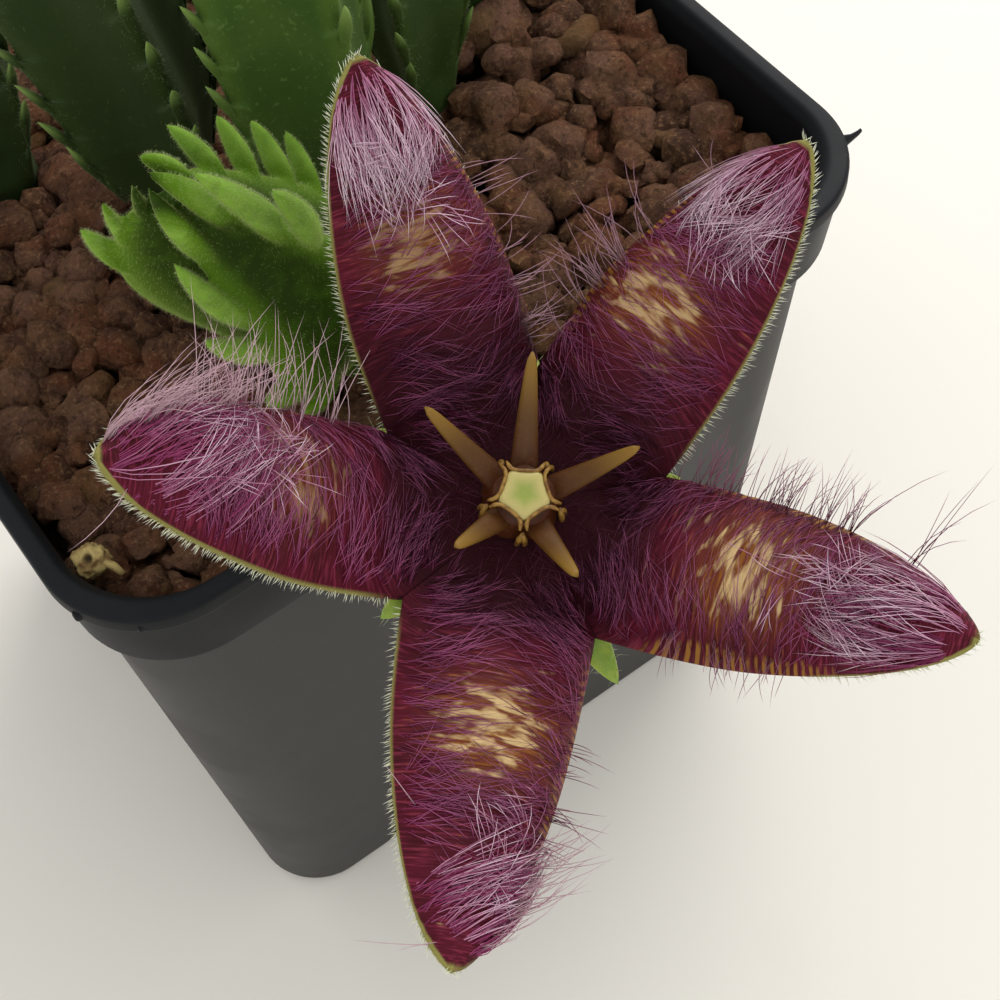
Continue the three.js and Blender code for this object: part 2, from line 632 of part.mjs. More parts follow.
// A sepal lies under the sinus and shows beyond it. It follows the corolla's underside
function sepalSolid(sinus) {
  const reach = Math.hypot(sinus.x, sinus.y);
  const outward = vec(sinus.x, sinus.y, 0).normalize();
  const side = vec(-outward.y, outward.x, 0);
  const underside = (r) => sinus.z * Math.min(r / reach, 1.06) ** 2 - COROLLA_THICKNESS - GAP - 0.25;
  const rings = [1.5, 6, 11, 15.5, 18.8].map((r) => {
    const share = r / SEPAL_REACH;
    const half = SEPAL_WIDTH * Math.sqrt(1 - share ** 3);
    const top = outward.clone().multiplyScalar(r).setZ(underside(r));
    const low = top.clone().add(vec(0, 0, -SEPAL_THICKNESS));
    return [
      top.clone(),
      top.clone().addScaledVector(side, half).add(vec(0, 0, -0.1)),
      low.clone().addScaledVector(side, half * 0.9),
      low.clone(),
      low.clone().addScaledVector(side, -half * 0.9),
      top.clone().addScaledVector(side, -half).add(vec(0, 0, -0.1)),
    ].reverse();
  });
  const tip = outward.clone().multiplyScalar(SEPAL_REACH).setZ(underside(SEPAL_REACH) - 0.5 * SEPAL_THICKNESS);
  const root = outward.clone().multiplyScalar(1.5).setZ(underside(1.5) - 0.5 * SEPAL_THICKNESS);
  return toSolid(loft(rings, root, tip));
}

function stalkGeometry() {
  const placement = flowerPlacement();
  const seat = -COROLLA_THICKNESS - GAP - 0.25;
  const profile = [[0, seat - 4.5], [STALK_RADIUS, seat - 4.5], [RECEPTACLE_RADIUS, seat - 1.4],
    [RECEPTACLE_RADIUS, seat], [0, seat]];
  const receptacle = new THREE.LatheGeometry(profile.map(([r, z]) => new THREE.Vector2(r, z)), 10);
  receptacle.rotateX(Math.PI / 2);
  const calyx = fuse([toSolid(receptacle), ...sinuses.map(sepalSolid)]);
  const placed = toGeometry(calyx);
  placed.applyMatrix4(placement);
  const route = STALK_ROUTE.map((point) => vec(...point));
  route.push(vec(0, 0, seat - 2.5).applyMatrix4(placement));
  const curve = new THREE.CatmullRomCurve3(route, false, 'centripetal');
  const steps = 18;
  const rings = Array.from({ length: steps + 1 }, (_, k) => {
    const frame = frameAt(curve, k / steps);
    return circleRing(frame.centre, STALK_RADIUS, 8, frame.u, frame.v);
  });
  return toGeometry(toSolid(placed).add(toSolid(loft(rings, route[0], curve.getPoint(1)))));
}

// A plain round hole in the soil for a foot, wider above the bed, where the ribs begin
function holeSolid(x, y, radius, depth, mouth = radius) {
  const surface = soilSurface(x, y);
  const levels = [
    [surface - depth - GAP, radius],
    [surface + 2, radius],
    [surface + FOOT_RISE - 1.5, Math.max(mouth, radius + 0.1)],
    [POT_HEIGHT + 10, Math.max(mouth, radius + 0.1)],
  ];
  const [u, v] = [vec(1, 0, 0), vec(0, 1, 0)];
  const widen = 1 / Math.cos(Math.PI / STEM_SIDES);
  const rings = levels.map(([z, r]) => circleRing(vec(x, y, z), (r + GAP) * widen, STEM_SIDES, u, v));
  return toSolid(loft(rings, vec(x, y, levels[0][0]), vec(x, y, POT_HEIGHT + 10)));
}

// The pale grain lies on the gravel with its lowest point at a set height
function paleGrainGeometry() {
  const grain = grainSolid(seeded(5), PALE_GRAIN.radius);
  grain.computeBoundingBox();
  grain.translate(PALE_GRAIN.x, PALE_GRAIN.y, PALE_GRAIN.low - grain.boundingBox.min.z);
  return grain;
}

const holes = [
  ...[...STEMS, SHOOT].map(({ x, y, rib }) => holeSolid(x, y, FOOT_RADIUS, FOOT_DEPTH, 0.72 * rib)),
  holeSolid(STALK_ROUTE[0][0], STALK_ROUTE[0][1], STALK_RADIUS, soilSurface(-7, -50) - STALK_ROUTE[0][2]),
];

addMesh(group, 'pot', potGeometry(), colours.pot);
addMesh(group, 'soil', soilGeometry(holes), colours.soil);
addMesh(group, 'pale_grain', paleGrainGeometry(), colours.paleGrain);
STEMS.forEach((stem) => addMesh(group, stem.name, stemGeometry(stem), colours.stem));
addMesh(group, 'young_shoot', shootGeometry(), colours.shoot);
addMesh(group, 'flower_stalk', stalkGeometry(), colours.calyx);

const flower = new THREE.Group();
flower.applyMatrix4(flowerPlacement());
addMesh(flower, 'corolla', corollaGeometry(), colours.corolla);
addMesh(flower, 'corona', coronaGeometry(), colours.corona);
addMesh(flower, 'style_head', headGeometry(), colours.head);
group.add(flower);

export default group;
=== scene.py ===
import math

import bpy
import numpy as np
from bpy.props import FloatProperty, FloatVectorProperty, IntProperty, PointerProperty
from bpy.types import NodeSocket, Operator, Panel, PropertyGroup
from mathutils import Matrix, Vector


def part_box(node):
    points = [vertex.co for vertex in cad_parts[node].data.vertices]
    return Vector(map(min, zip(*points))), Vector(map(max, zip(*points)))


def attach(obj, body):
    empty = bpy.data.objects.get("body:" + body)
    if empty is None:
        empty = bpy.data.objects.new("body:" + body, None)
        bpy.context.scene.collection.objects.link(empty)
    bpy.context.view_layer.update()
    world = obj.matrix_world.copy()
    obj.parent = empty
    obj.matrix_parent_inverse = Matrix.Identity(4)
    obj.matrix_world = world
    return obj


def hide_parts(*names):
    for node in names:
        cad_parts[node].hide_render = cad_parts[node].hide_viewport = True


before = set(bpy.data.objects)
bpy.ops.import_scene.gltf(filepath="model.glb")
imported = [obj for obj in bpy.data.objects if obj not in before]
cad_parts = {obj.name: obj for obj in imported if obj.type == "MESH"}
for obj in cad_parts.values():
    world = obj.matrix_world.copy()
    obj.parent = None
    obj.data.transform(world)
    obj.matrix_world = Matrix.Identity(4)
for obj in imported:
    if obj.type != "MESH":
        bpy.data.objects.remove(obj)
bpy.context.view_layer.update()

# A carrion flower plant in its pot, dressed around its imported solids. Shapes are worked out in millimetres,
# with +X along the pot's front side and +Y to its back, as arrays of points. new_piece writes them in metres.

bl_info = {
    "name": "Potted Carrion Flower",
    "version": (1, 0, 0),
    "blender": (4, 5, 0),
    "location": "3D View > Sidebar > Carrion Flower",
    "description": "Builds a square pot of lava gravel with ribbed succulent stems and a hairy star flower",
    "category": "Add Mesh",
}

MM = 0.001

# Pot, in millimetres. Its width and height come from the frame. Half widths are counted from its middle, and
# a corner's radius shrinks by CORNER_SHRINK of what the half width does
LIP_HALF = -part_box("pot")[0].y / MM
POT_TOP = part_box("pot")[1].z / MM
POT_CORNER = 16
CORNER_SHRINK = 0.35
LIP_WIDTH = 2.4
COLLAR_DEPTH = 15
COLLAR_FOOT_HALF = 63.2
INNER_HALF = 61.3
INNER_LEDGE = 115.6
BODY_TOP_HALF = 61.3
BODY_FOOT_HALF = 52.3
FOOT_BEVEL = 1.2
WALL = 1.4
FLOOR = 2.2
DRAIN_RADIUS = 4
DRAIN_RING = 34
DRAIN_COUNT = 8
POT_SHARP = math.radians(50)
# What the mould left on the lip, with heights counted from its top: a fin, as a route and its radii, and two
# nubs, as a middle and half sizes
FIN_ROUTE = (
    (62.2, -55.0, -1.8), (63.7, -55.3, -1.7), (65.0, -55.5, -1.6), (66.2, -55.5, -1.5), (66.9, -55.4, -1.4))
FIN_RADII = (1.7, 1.2, 0.7, 0.5, 0.4)
NUBS = (((-63.4, -55.2, -2.0), (0.9, 0.7, 0.7)), ((-58.0, -61.4, -2.0), (0.7, 0.9, 0.7)))

# Gravel: the bed's surface rises towards the middle of the right side
SOIL_LEVEL = 119.5
SOIL_RISE = 4.5
GRAVEL_SHARP = math.radians(58)

# The pale grain, the pit in it, and the twig that leaves its middle
PALE_GRAIN = {"x": -58, "y": -46.8, "low": 123.45, "radius": 2.1, "steps": 14}
PIT_FACING = (-0.35, -0.5, 0.8)
PIT_DEPTH = 1.0
TWIG_ROUTE = ((0.6, -1.0, 0.2), (1.2, -2.0, 0.4), (1.8, -3.2, 0.1), (2.3, -4.4, -0.7))
TWIG_RADII = (0.9, 0.6, 0.6, 0.4)

# Stems: a round foot stands in the gravel, and four ribs with teeth rise above it. The last column of a
# stem is painted shade: how far its skin is darkened because it stands in shade, as a share of STEM_DARKEST.
# A stem bends at its knee, a share of its length up. STEM_HOLLOW is the share of a rib's reach that the face
# between two ribs has, and TOOTH_RISE the share of a tooth's period in which it rises
FOOT_RADIUS = 5
FOOT_DEPTH = 14
FOOT_RISE = 6.5
TOOTH_PERIOD = 9
STEM_KEYS = ("name", "x", "y", "lean", "length", "rib", "tooth", "roll", "age")
STEMS = [dict(zip(STEM_KEYS, row)) for row in (
    ("stem_left", -15.5, 5.5, (-0.17, 0.07), 92, 12, 4.2, 8, 1.1),
    ("stem_middle", 3, -8.5, (-0.06, -0.01), 104, 12.5, 4.2, 12, 0.0),
    ("stem_right", 25, -2, (0.04, 0.1), 84, 8.5, 3.8, 50, 0.85),
    ("stem_back", 43.5, 10, (0.2, 0.14), 66, 8, 3.8, 40, 0.9),
    ("stem_corner", -34, 27, (-0.12, 0.14), 76, 9, 3.8, 30, 1.15),
)]
STEM_HOLLOW = 0.62
STEM_KNEE = 0.3
STEM_DARKEST = 0.75
TOOTH_RISE = 0.62
STEM_DOWN = {"count": 3600, "radius": 0.025}

# Young shoot. Each of its ribs has how far it is turned from an even cross, in degrees, its reach, how much
# that grows or shrinks to the crown, how thick its leaves are, and its leaves. A leaf has a root and a tip,
# each as a share of the shoot and millimetres out from the shoot's line. The voxel and the relaxing turn body
# and leaves into one skin. Down grows above DOWN_FOOT and starts a little inside the skin
SHOOT = {"x": -9.5, "y": -37.5, "lean": (-0.475, -0.125), "knee": 0.12, "length": 58.5, "rib": 15, "roll": 55}
SHOOT_HOLLOW = 0.42
SHOOT_RIBS = (
    (0, 0.98, -0.29, 0.95, (
        (0.12, 8.5, 0.23, 14), (0.282, 13, 0.384, 19.2), (0.465, 13.4, 0.586, 18.7), (0.598, 12, 0.71, 16.9),
        (0.727, 9.6, 0.828, 13.6), (0.831, 7.2, 0.941, 8.6), (0.913, 3.8, 1.0, 2.7))),
    (8, 1.14, 0.33, 0.95, (
        (0.14, 9.5, 0.25, 15), (0.29, 13, 0.4, 18), (0.794, 14.6, 0.94, 12.2), (0.807, 12, 0.99, 5.9),
        (0.859, 7, 0.997, 1.3))),
    (-20, 1.1, -0.45, 1.25, (
        (0.2, 11, 0.31, 16.5), (0.4, 13.6, 0.53, 17.5), (0.6, 12.6, 0.78, 13.6), (0.707, 10.2, 0.898, 6.8),
        (0.838, 5.1, 0.99, 0.4))),
    (0, 0.97, -0.48, 1.2, (
        (0.17, 9.5, 0.28, 14.5), (0.33, 12, 0.44, 16.5), (0.52, 10.8, 0.66, 14), (0.716, 8.6, 0.888, 10.2),
        (0.749, 6, 0.991, 5.9), (0.839, 3, 1.018, 2))),
)
SHOOT_VOXEL = 0.42
SHOOT_RELAX = (0.5, 3)
SHOOT_DOWN = {"count": 30000, "radius": 0.022}
DOWN_FOOT = SOIL_LEVEL + 4
DOWN_SUNK = 0.08

# Flower: its centre, the way it faces, its right, and its five lobes. An azimuth is counted from the flower's
# right. half is the flattened half width of each flank and fold how far its margin turns back, in radians,
# first the clockwise flank, then the other. A place on a lobe is its share of the way to the tip and of the
# way to the margin: patch is the middle of the cream patch and mat is where the pale hairs meet. glow is how
# much of the patch shows, and rim gives for each flank where its pale rim with cilia starts. The tenth column
# is where the dark middle fades out: partly the disc's own dark and partly painted shade, which reaches
# further on the top and upper-right lobes. blush is how much magenta the hairs of the mat keep, and hairs is
# how many they are. A flank whose fold is over FLAT_FOLD shows the gold bars. A horn has an azimuth and a
# reach, and the column, the head and the pollen carriers are turned as UPPER_HORN is. GAP is left between
# pieces
FLOWER_CENTRE = np.array([-17.3, -89.1, 150.8])
FLOWER_FACING = np.array([-0.1, -0.36, 0.93])
FLOWER_RIGHT = np.array([0.82, -0.56, -0.13])
LOBE_KEYS = (
    "azimuth", "reach", "rise", "half", "fold", "patch", "glow", "mat", "rim", "dark_and_shade_reach", "blush", "hairs")
LOBES = [dict(zip(LOBE_KEYS, row)) for row in (
    (-99, 51.8, 14, (12, 15), (0.55, 1.4), (0.29, 0.03), 1.0, (0.64, 0.85), (0.02, 0.93), 0.16, 0.85, 270),
    (-22, 48.7, 22, (13, 15.5), (1.1, 1.3), (0.29, -0.02), 1.0, (0.54, -0.1), (0.5, 0.95), 0.16, 0.6, 330),
    (51, 49.2, 16, (11.4, 15), (0.5, 1.4), (0.31, 0.18), 0.8, (0.56, 0.12), (0.02, 0.55), 0.28, 0.35, 300),
    (113, 49, 20, (15, 12.4), (1.4, 0.55), (0.41, 0.1), 0.45, (0.56, 0.08), (0.45, 0.02), 0.38, 0.3, 300),
    (182, 43.8, 28, (15, 11.5), (1.35, 0.55), (0.32, 0.0), 0.35, (0.38, -0.5), (0.9, 0.02), 0.2, 0.85, 400),
)]
LOBE_GRID = {"rows": 130, "disc_rows": 16, "columns": 40}
DISC_RADIUS = 15.5
DISC_RISE = 4
LOBE_ARCH = 0.55
SINUS_RADIUS = 17.3
SINUS_REACH = 0.35
COROLLA_THICKNESS = 1.2
WRINKLE_HEIGHT = 0.17
FLAT_FOLD = 0.7
HORNS = [(-63, 11.5), (19, 12.9), (88, 14.8), (143.5, 14), (222, 10.7)]
UPPER_HORN = math.radians(HORNS[2][0])
HORN_RISE = 11
HORN_ROOT = 2.2
HORN_ROOT_HEIGHT = 2.3
HORN_WIDTH = 1.7
HORN_DEPTH = 1
COLUMN_HEIGHT = 4.6
HEAD_RADIUS = 2.95
CARRIER_REACH = 4.3
HEAD_HEIGHT = 1.1
GAP = 0.3
BASE_HAIRS = 1100
DISC_HAIRS = 260
DISC_TONE = 0.9
HAIR_TAPER = 0.5
HAIR_SUNK = 0.12

# Calyx and stalk. The seat is the height of the cup's top on the flower's own axis
CALYX_SEAT = -COROLLA_THICKNESS - GAP - 0.25
CALYX_DOWN = {"count": 3000, "length": 1.7, "radius": 0.032}
SEPAL_REACHES = (23, 19.4, 19.4, 19.4, 20.6)
SEPAL_WIDTH = 2.7
SEPAL_THICKNESS = 0.9
STALK_RADIUS = 2
RECEPTACLE_RADIUS = 3.8
STALK_ROUTE = [
    (-7, -50, 104), (-7, -50, 112), (-7, -50, 120), (-7.2, -51.6, 126.5), (-7.8, -55.4, 131),
    (-9.2, -62, 134.8), (-12, -71, 137), (-14.6, -80, 138.8), (-16.2, -85.4, 143.4),
]

# Camera: it looks down on the flower from the left of the pot's front
CAMERA_PLACE = (-75.2, -186.1, 326.5)
CAMERA_RIGHT = (0.8097, -0.5829, -0.0685)
CAMERA_DOWN = (-0.5216, -0.661, -0.5395)
CAMERA_LENS = 65.93
CAMERA_SENSOR = 36
CAMERA_CLIP = (0.01, 20)

# Stage, in metres. A light has a place, a point it faces, a size, its share of the power and a colour
FLOOR_SIZE = 6
SKY_COLOUR = "#fafbfb"
LIGHTS = {
    "right_window": ((0.7, 0.45, 0.85), (0, -0.03, 0.08), 0.8, 1, (1, 0.99, 0.97)),
    "front_fill": ((-0.5, -0.9, 0.6), (0, -0.03, 0.1), 0.9, 0.16, (0.97, 0.98, 1)),
}


# Arrays of points

UP = np.array([0, 0, 1.0])

# Large primes that scatter a cell's number for noise
HASH_FACTORS = (73856093, 19349663, 83492791)
HASH_SEED = 2654435761
HASH_MIX = 1274126177


def unit(vectors):
    """Each vector divided by its length."""
    return vectors / np.linalg.norm(vectors, axis=-1, keepdims=True)


def smooth(t):
    """An even rise from 0 to 1 while t does: 3t² − 2t³."""
    t = np.clip(t, 0, 1)
    return t * t * (3 - 2 * t)


def mix(a, b, share):
    """A straight blend from a to b."""
    return a + (b - a) * share


def full_turn(count):
    """Even angles round a full turn."""
    return np.arange(count) / count * 2 * np.pi


def out_and_side(azimuth):
    """The level directions out at an azimuth in radians and a quarter turn on from it."""
    out = np.array([math.cos(azimuth), math.sin(azimuth), 0])
    return out, np.array([-out[1], out[0], 0])


def bezier(a, b, c, t):
    """Points at t on the parabola from a to c that sets out towards b: (1−t)²a + 2t(1−t)b + t²c."""
    t = np.asarray(t, float)[..., None]
    return (1 - t) ** 2 * a + 2 * t * (1 - t) * b + t * t * c


def bezier_heading(a, b, c, t):
    """The same parabola's direction at t: (1−t)(b−a) + t(c−b), made one unit long."""
    t = np.asarray(t, float)[..., None]
    return unit((1 - t) * (b - a) + t * (c - b))


def noise(points, seed=0):
    """Smooth noise from −1 to 1: a hashed value at each corner of a unit cell, blended evenly between
    corners. The points are an array, or their three coordinates apart."""
    if isinstance(points, tuple):
        points = np.stack(np.broadcast_arrays(*points), -1)
    cell = np.floor(points).astype(np.int64)
    share = smooth(points - cell)
    total = np.zeros(points.shape[:-1])
    for corner in np.ndindex(2, 2, 2):
        key = ((cell + np.array(corner)) * np.array(HASH_FACTORS)).sum(-1) + seed * HASH_SEED
        key = ((key ^ (key >> 13)) * HASH_MIX) & 0xFFFFFFFF
        value = ((key ^ (key >> 16)) & 0xFFFF) / 32767.5 - 1
        total += value * np.prod(np.where(corner, share, 1 - share), axis=-1)
    return total


def grid_quads(rows, columns, closed=False):
    """Quads of a grid of points numbered row by row. closed joins its last column to its first."""
    r, c = np.meshgrid(np.arange(rows - 1), np.arange(columns if closed else columns - 1), indexing="ij")
    n = (c + 1) % columns
    low, high = r * columns, (r + 1) * columns
    return np.stack([low + c, low + n, high + n, high + c], -1).reshape(-1, 4)


def loft(rings):
    """A closed skin through rings of points, with a fan to the middle of each end ring."""
    rows, columns = rings.shape[:2]
    points = np.concatenate([rings.reshape(-1, 3), rings[:1].mean(1), rings[-1:].mean(1)])
    i = np.arange(columns)
    j = (i + 1) % columns
    low = np.stack([np.full(columns, rows * columns), j, i], -1)
    last = (rows - 1) * columns
    high = np.stack([np.full(columns, rows * columns + 1), last + i, last + j], -1)
    return points, [grid_quads(rows, columns, closed=True), low, high]


def polar(radius, angle, height):
    """Points at a radius, an angle round the Z axis and a height."""
    return np.stack(np.broadcast_arrays(radius * np.cos(angle), radius * np.sin(angle), height), -1)


def turned_rings(profile, angle, edge=1):
    """Rings round the Z axis through (radius, height) rows. edge makes each angle reach further or less."""
    return polar(profile[:, :1] * edge, angle, profile[:, 1:])


def joined(skins):
    """Several (points, faces) skins as one, with their faces counted on."""
    points, faces, count = [], [], 0
    for skin_points, skin_faces in skins:
        points.append(skin_points)
        faces.extend(face + count for face in skin_faces)
        count += len(skin_points)
    return np.concatenate(points), faces


def tube(path, radii, columns, reference=(1, 0, 0), squeeze=1):
    """A closed tube: at each point of the path a circle of its own radius stands across the path's heading.
    reference is the direction its first column starts from, and squeeze flattens it across that direction."""
    along = unit(np.gradient(path, axis=0))
    u = unit(np.asarray(reference) - (along @ np.asarray(reference, float))[:, None] * along)
    v = np.cross(along, u)
    angle = full_turn(columns)[:, None]
    radii = np.broadcast_to(radii, len(path))[:, None, None]
    return loft(path[:, None] + radii * (np.cos(angle) * u[:, None] + squeeze * np.sin(angle) * v[:, None]))


def hair_tubes(paths, radius, taper=0.75):
    """Many fine hairs at once. paths holds each hair's middle line, root first. Each hair is a tube with
    three sides whose radius falls by taper along it, shut at the root and drawn to a point at the tip."""
    count, steps = paths.shape[0], paths.shape[1] - 1
    along = unit(np.gradient(paths, axis=1))
    helper = np.where(np.abs(along[:, :1, 2:]) > 0.9, [1.0, 0, 0], [0, 0, 1.0])
    side = unit(np.cross(along, helper))
    up = np.cross(along, side)
    angle = np.arange(3) * 2 * np.pi / 3
    size = np.broadcast_to(radius, count)[:, None] * (1 - taper * np.linspace(0, 1, steps + 1))
    ring = np.cos(angle)[:, None] * side[:, :-1, None] + np.sin(angle)[:, None] * up[:, :-1, None]
    rings = paths[:, :-1, None] + size[:, :-1, None, None] * ring
    points = np.concatenate([rings.reshape(count, -1, 3), paths[:, -1:]], 1)
    first = np.arange(count)[:, None, None] * (3 * steps + 1)
    quads = (first + grid_quads(steps, 3, closed=True)).reshape(-1, 4)
    tip = 3 * steps
    ends = [[0, 2, 1]] + [[tip - 3 + i, tip - 3 + (i + 1) % 3, tip] for i in range(3)]
    return points.reshape(-1, 3), [quads, (first + np.array(ends)).reshape(-1, 3)]


def hair_values(paths, values):
    """Each hair's value, or its values from root to tip, for every point that hair_tubes makes."""
    if values.ndim == 1:
        return np.repeat(values, 3 * paths.shape[1] - 2)
    return np.concatenate([np.repeat(values[:, :-1], 3, axis=1), values[:, -1:]], 1).ravel()


# Blender objects

def hex_linear(code):
    """A #rrggbb colour as linear red, green and blue."""
    channels = np.array([int(code[i:i + 2], 16) for i in (1, 3, 5)]) / 255
    return tuple(np.where(channels <= 0.04045, channels / 12.92, ((channels + 0.055) / 1.055) ** 2.4))


def opaque(colour):
    """A colour with a full alpha, from a hex code or from linear red, green and blue."""
    return (*(hex_linear(colour) if isinstance(colour, str) else colour), 1)


def scene_object(name, data):
    """An object with this data, linked to the scene."""
    item = bpy.data.objects.new(name, data)
    bpy.context.scene.collection.objects.link(item)
    return item


def put_values(mesh, values):
    """Writes numbers or vectors, one for each point, as the mesh's attributes."""
    for key, value in values.items():
        value = np.asarray(value, np.float32)
        kind, field = ("FLOAT_VECTOR", "vector") if value.ndim == 2 else ("FLOAT", "value")
        mesh.attributes.new(key, kind, "POINT").data.foreach_set(field, value.ravel())


def new_piece(name, points, faces, material, slot, replaces=(), values=None, sharp=None):
    """A mesh object named for its piece, from points in millimetres and arrays of quads and triangles. values
    holds a number or a vector for each point, by attribute name, and sharp is the angle above which an edge
    stays sharp. It rides on the plant's one body."""
    mesh = bpy.data.meshes.new(name)
    corners = np.concatenate([face.ravel() for face in faces])
    counts = np.concatenate([np.full(len(face), face.shape[1]) for face in faces])
    mesh.vertices.add(len(points))
    mesh.vertices.foreach_set("co", (np.asarray(points, np.float32) * MM).ravel())
    mesh.loops.add(len(corners))
    mesh.loops.foreach_set("vertex_index", corners.astype(np.int32))
    mesh.polygons.add(len(counts))
    mesh.polygons.foreach_set("loop_start", np.concatenate([[0], np.cumsum(counts)[:-1]]).astype(np.int32))
    mesh.polygons.foreach_set("use_smooth", np.ones(len(counts), bool))
    mesh.update(calc_edges=True)
    put_values(mesh, values or {})
    if sharp is not None:
        mesh.set_sharp_from_angle(angle=sharp)
    mesh.materials.append(material)
    piece = scene_object(name, mesh)
    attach(piece, "root")
    if replaces:
        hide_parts(*replaces)
    return piece


def apply_modifiers(piece):
    """Puts what the piece's modifiers make into its mesh, and takes the modifiers off."""
    graph = bpy.context.evaluated_depsgraph_get()
    mesh = bpy.data.meshes.new_from_object(piece.evaluated_get(graph))
    piece.modifiers.clear()
    piece.data = mesh


def add_node(tree, kind, settings=None, links=None):
    """Adds a node of that kind. settings are its own options, and links gives an input a value or a
    socket."""
    node = tree.nodes.new(kind)
    for name, value in (settings or {}).items():
        setattr(node, name, value)
    for name, value in (links or {}).items():
        if isinstance(value, NodeSocket):
            tree.links.new(value, node.inputs[name])
        else:
            node.inputs[name].default_value = value
    return node


def new_material(name, settings):
    """A material with one Principled shader set to these values. Returns it with its tree and shader."""
    material = bpy.data.materials.new(name)
    material.use_nodes = True
    tree = material.node_tree
    shader = tree.nodes["Principled BSDF"]
    for socket, value in settings.items():
        shader.inputs[socket].default_value = value
    return material, tree, shader


def ramp(tree, value, low, high, to_low=0, to_high=1):
    """value carried from the range low…high to to_low…to_high, and held at its ends."""
    links = {"Value": value, 1: low, 2: high, 3: to_low, 4: to_high}
    return add_node(tree, "ShaderNodeMapRange", {"interpolation_type": "SMOOTHSTEP"}, links).outputs[0]


def pattern(tree, source):
    """The socket of a pattern. A name is one of the piece's own values, three numbers are the grain in
    millimetres, the detail and the roughness of a noise in Object coordinates, and a socket is itself."""
    if isinstance(source, str):
        return add_node(tree, "ShaderNodeAttribute", {"attribute_name": source}).outputs["Fac"]
    if isinstance(source, NodeSocket):
        return source
    grain, detail, roughness = source
    place = add_node(tree, "ShaderNodeTexCoord").outputs["Object"]
    links = {"Vector": place, "Scale": 1 / (grain * MM), "Detail": detail, "Roughness": roughness}
    return add_node(tree, "ShaderNodeTexNoise", None, links).outputs["Fac"]


def dress(tree, shader, base, layers, grain=None, depth_mm=0):
    """Gives a shader its colour and its relief. Layers of (pattern, colour) or (pattern, low, high, to_low,
    to_high, colour) lie over the base: the pattern, carried through ramp where it has numbers, is the
    colour's share. The grain, a pattern too, raises the surface by depth_mm."""
    result = opaque(base)
    for source, *numbers, colour in layers:
        share = pattern(tree, source)
        if numbers:
            share = ramp(tree, share, *numbers)
        links = {0: share, 6: result, 7: opaque(colour)}
        result = add_node(tree, "ShaderNodeMix", {"data_type": "RGBA"}, links).outputs[2]
    if layers:
        tree.links.new(result, shader.inputs["Base Color"])
    if grain is not None:
        links = {"Height": pattern(tree, grain), "Distance": depth_mm * MM}
        relief = add_node(tree, "ShaderNodeBump", None, links)
        tree.links.new(relief.outputs[0], shader.inputs["Normal"])


def dressed_material(name, settings, base, layers, grain=None, depth_mm=0):
    """A material with these shader values, dressed with these patterns alone."""
    material, tree, shader = new_material(name, settings)
    dress(tree, shader, base, layers, grain, depth_mm)
    return material


# Pot

def square_rings(halves, heights, corner_steps=20, side_steps=6):
    """Rings of a square with round corners. Each corner is a quarter circle whose radius shrinks by
    CORNER_SHRINK of what the square does, and straight sides join the corners, anticlockwise from above."""
    arc = np.linspace(0, np.pi / 2, corner_steps + 1)
    run = np.linspace(1, -1, side_steps + 1)[1:-1]
    cos_part = np.concatenate([np.cos(arc), np.zeros(len(run))])
    sin_part = np.concatenate([np.sin(arc), np.ones(len(run))])
    x_sign = np.concatenate([np.ones(len(arc)), run])
    y_sign = np.ones(len(cos_part))
    halves = np.asarray(halves, float)[:, None]
    corner = np.maximum(POT_CORNER - (LIP_HALF - halves) * CORNER_SHRINK, 4)
    x = (halves - corner) * x_sign + corner * cos_part
    y = (halves - corner) * y_sign + corner * sin_part
    quarter = [(x, y), (-y, x), (-x, -y), (y, -x)]
    xs = np.concatenate([q[0] for q in quarter], 1)
    ys = np.concatenate([q[1] for q in quarter], 1)
    return np.stack([xs, ys, np.broadcast_to(np.asarray(heights, float)[:, None], xs.shape)], -1)


def rounded_profile(corners, steps=4):
    """A profile of (half width, height, round) corners with each inner corner turned into a small parabola
    that starts and ends its round before and after the corner."""
    corners = np.asarray(corners, float)
    place, cut = corners[:, :2], corners[1:-1, 2:]
    before, after = place[:-2] - place[1:-1], place[2:] - place[1:-1]
    start, end = (place[1:-1] + unit(way) * np.minimum(cut, 0.45 * np.linalg.norm(way, axis=1, keepdims=True))
                  for way in (before, after))
    t = np.tile(np.linspace(0, 1, steps + 1), (len(start), 1))
    curves = bezier(start[:, None], place[1:-1][:, None], end[:, None], t)
    return np.concatenate([place[:1], curves.reshape(-1, 2), place[-1:]])


def inside_half(z):
    """Half width of the pot's inside at a height below its ledge."""
    slope = (BODY_TOP_HALF - BODY_FOOT_HALF) / (POT_TOP - COLLAR_DEPTH - FOOT_BEVEL)
    return BODY_FOOT_HALF - WALL + slope * (z - FOOT_BEVEL)


def pot_skin(height):
    """The pot's wall: a profile from the underside up the tapered body, out at the collar, over the lip and
    down inside to the floor, carried round a square with round corners."""
    collar_foot = height - COLLAR_DEPTH
    profile = rounded_profile([
        (BODY_FOOT_HALF - 6, 0, 0),
        (BODY_FOOT_HALF, 0, 2.2),
        (BODY_TOP_HALF, collar_foot, 0.35),
        (COLLAR_FOOT_HALF, collar_foot, 0.5),
        (COLLAR_FOOT_HALF + 1.15, height - 3.5, 0.5),
        (LIP_HALF, height - 2.8, 0.4),
        (LIP_HALF, height, 0.7),
        (LIP_HALF - LIP_WIDTH, height, 0.6),
        (INNER_HALF, height - 1.6, 0.8),
        (INNER_HALF, INNER_LEDGE + 1.4, 0.5),
        (inside_half(INNER_LEDGE), INNER_LEDGE, 0.5),
        (inside_half(FLOOR), FLOOR, 1.5),
        (inside_half(FLOOR) - 8, FLOOR, 0),
    ])
    return loft(square_rings(profile[:, 0], profile[:, 1]))


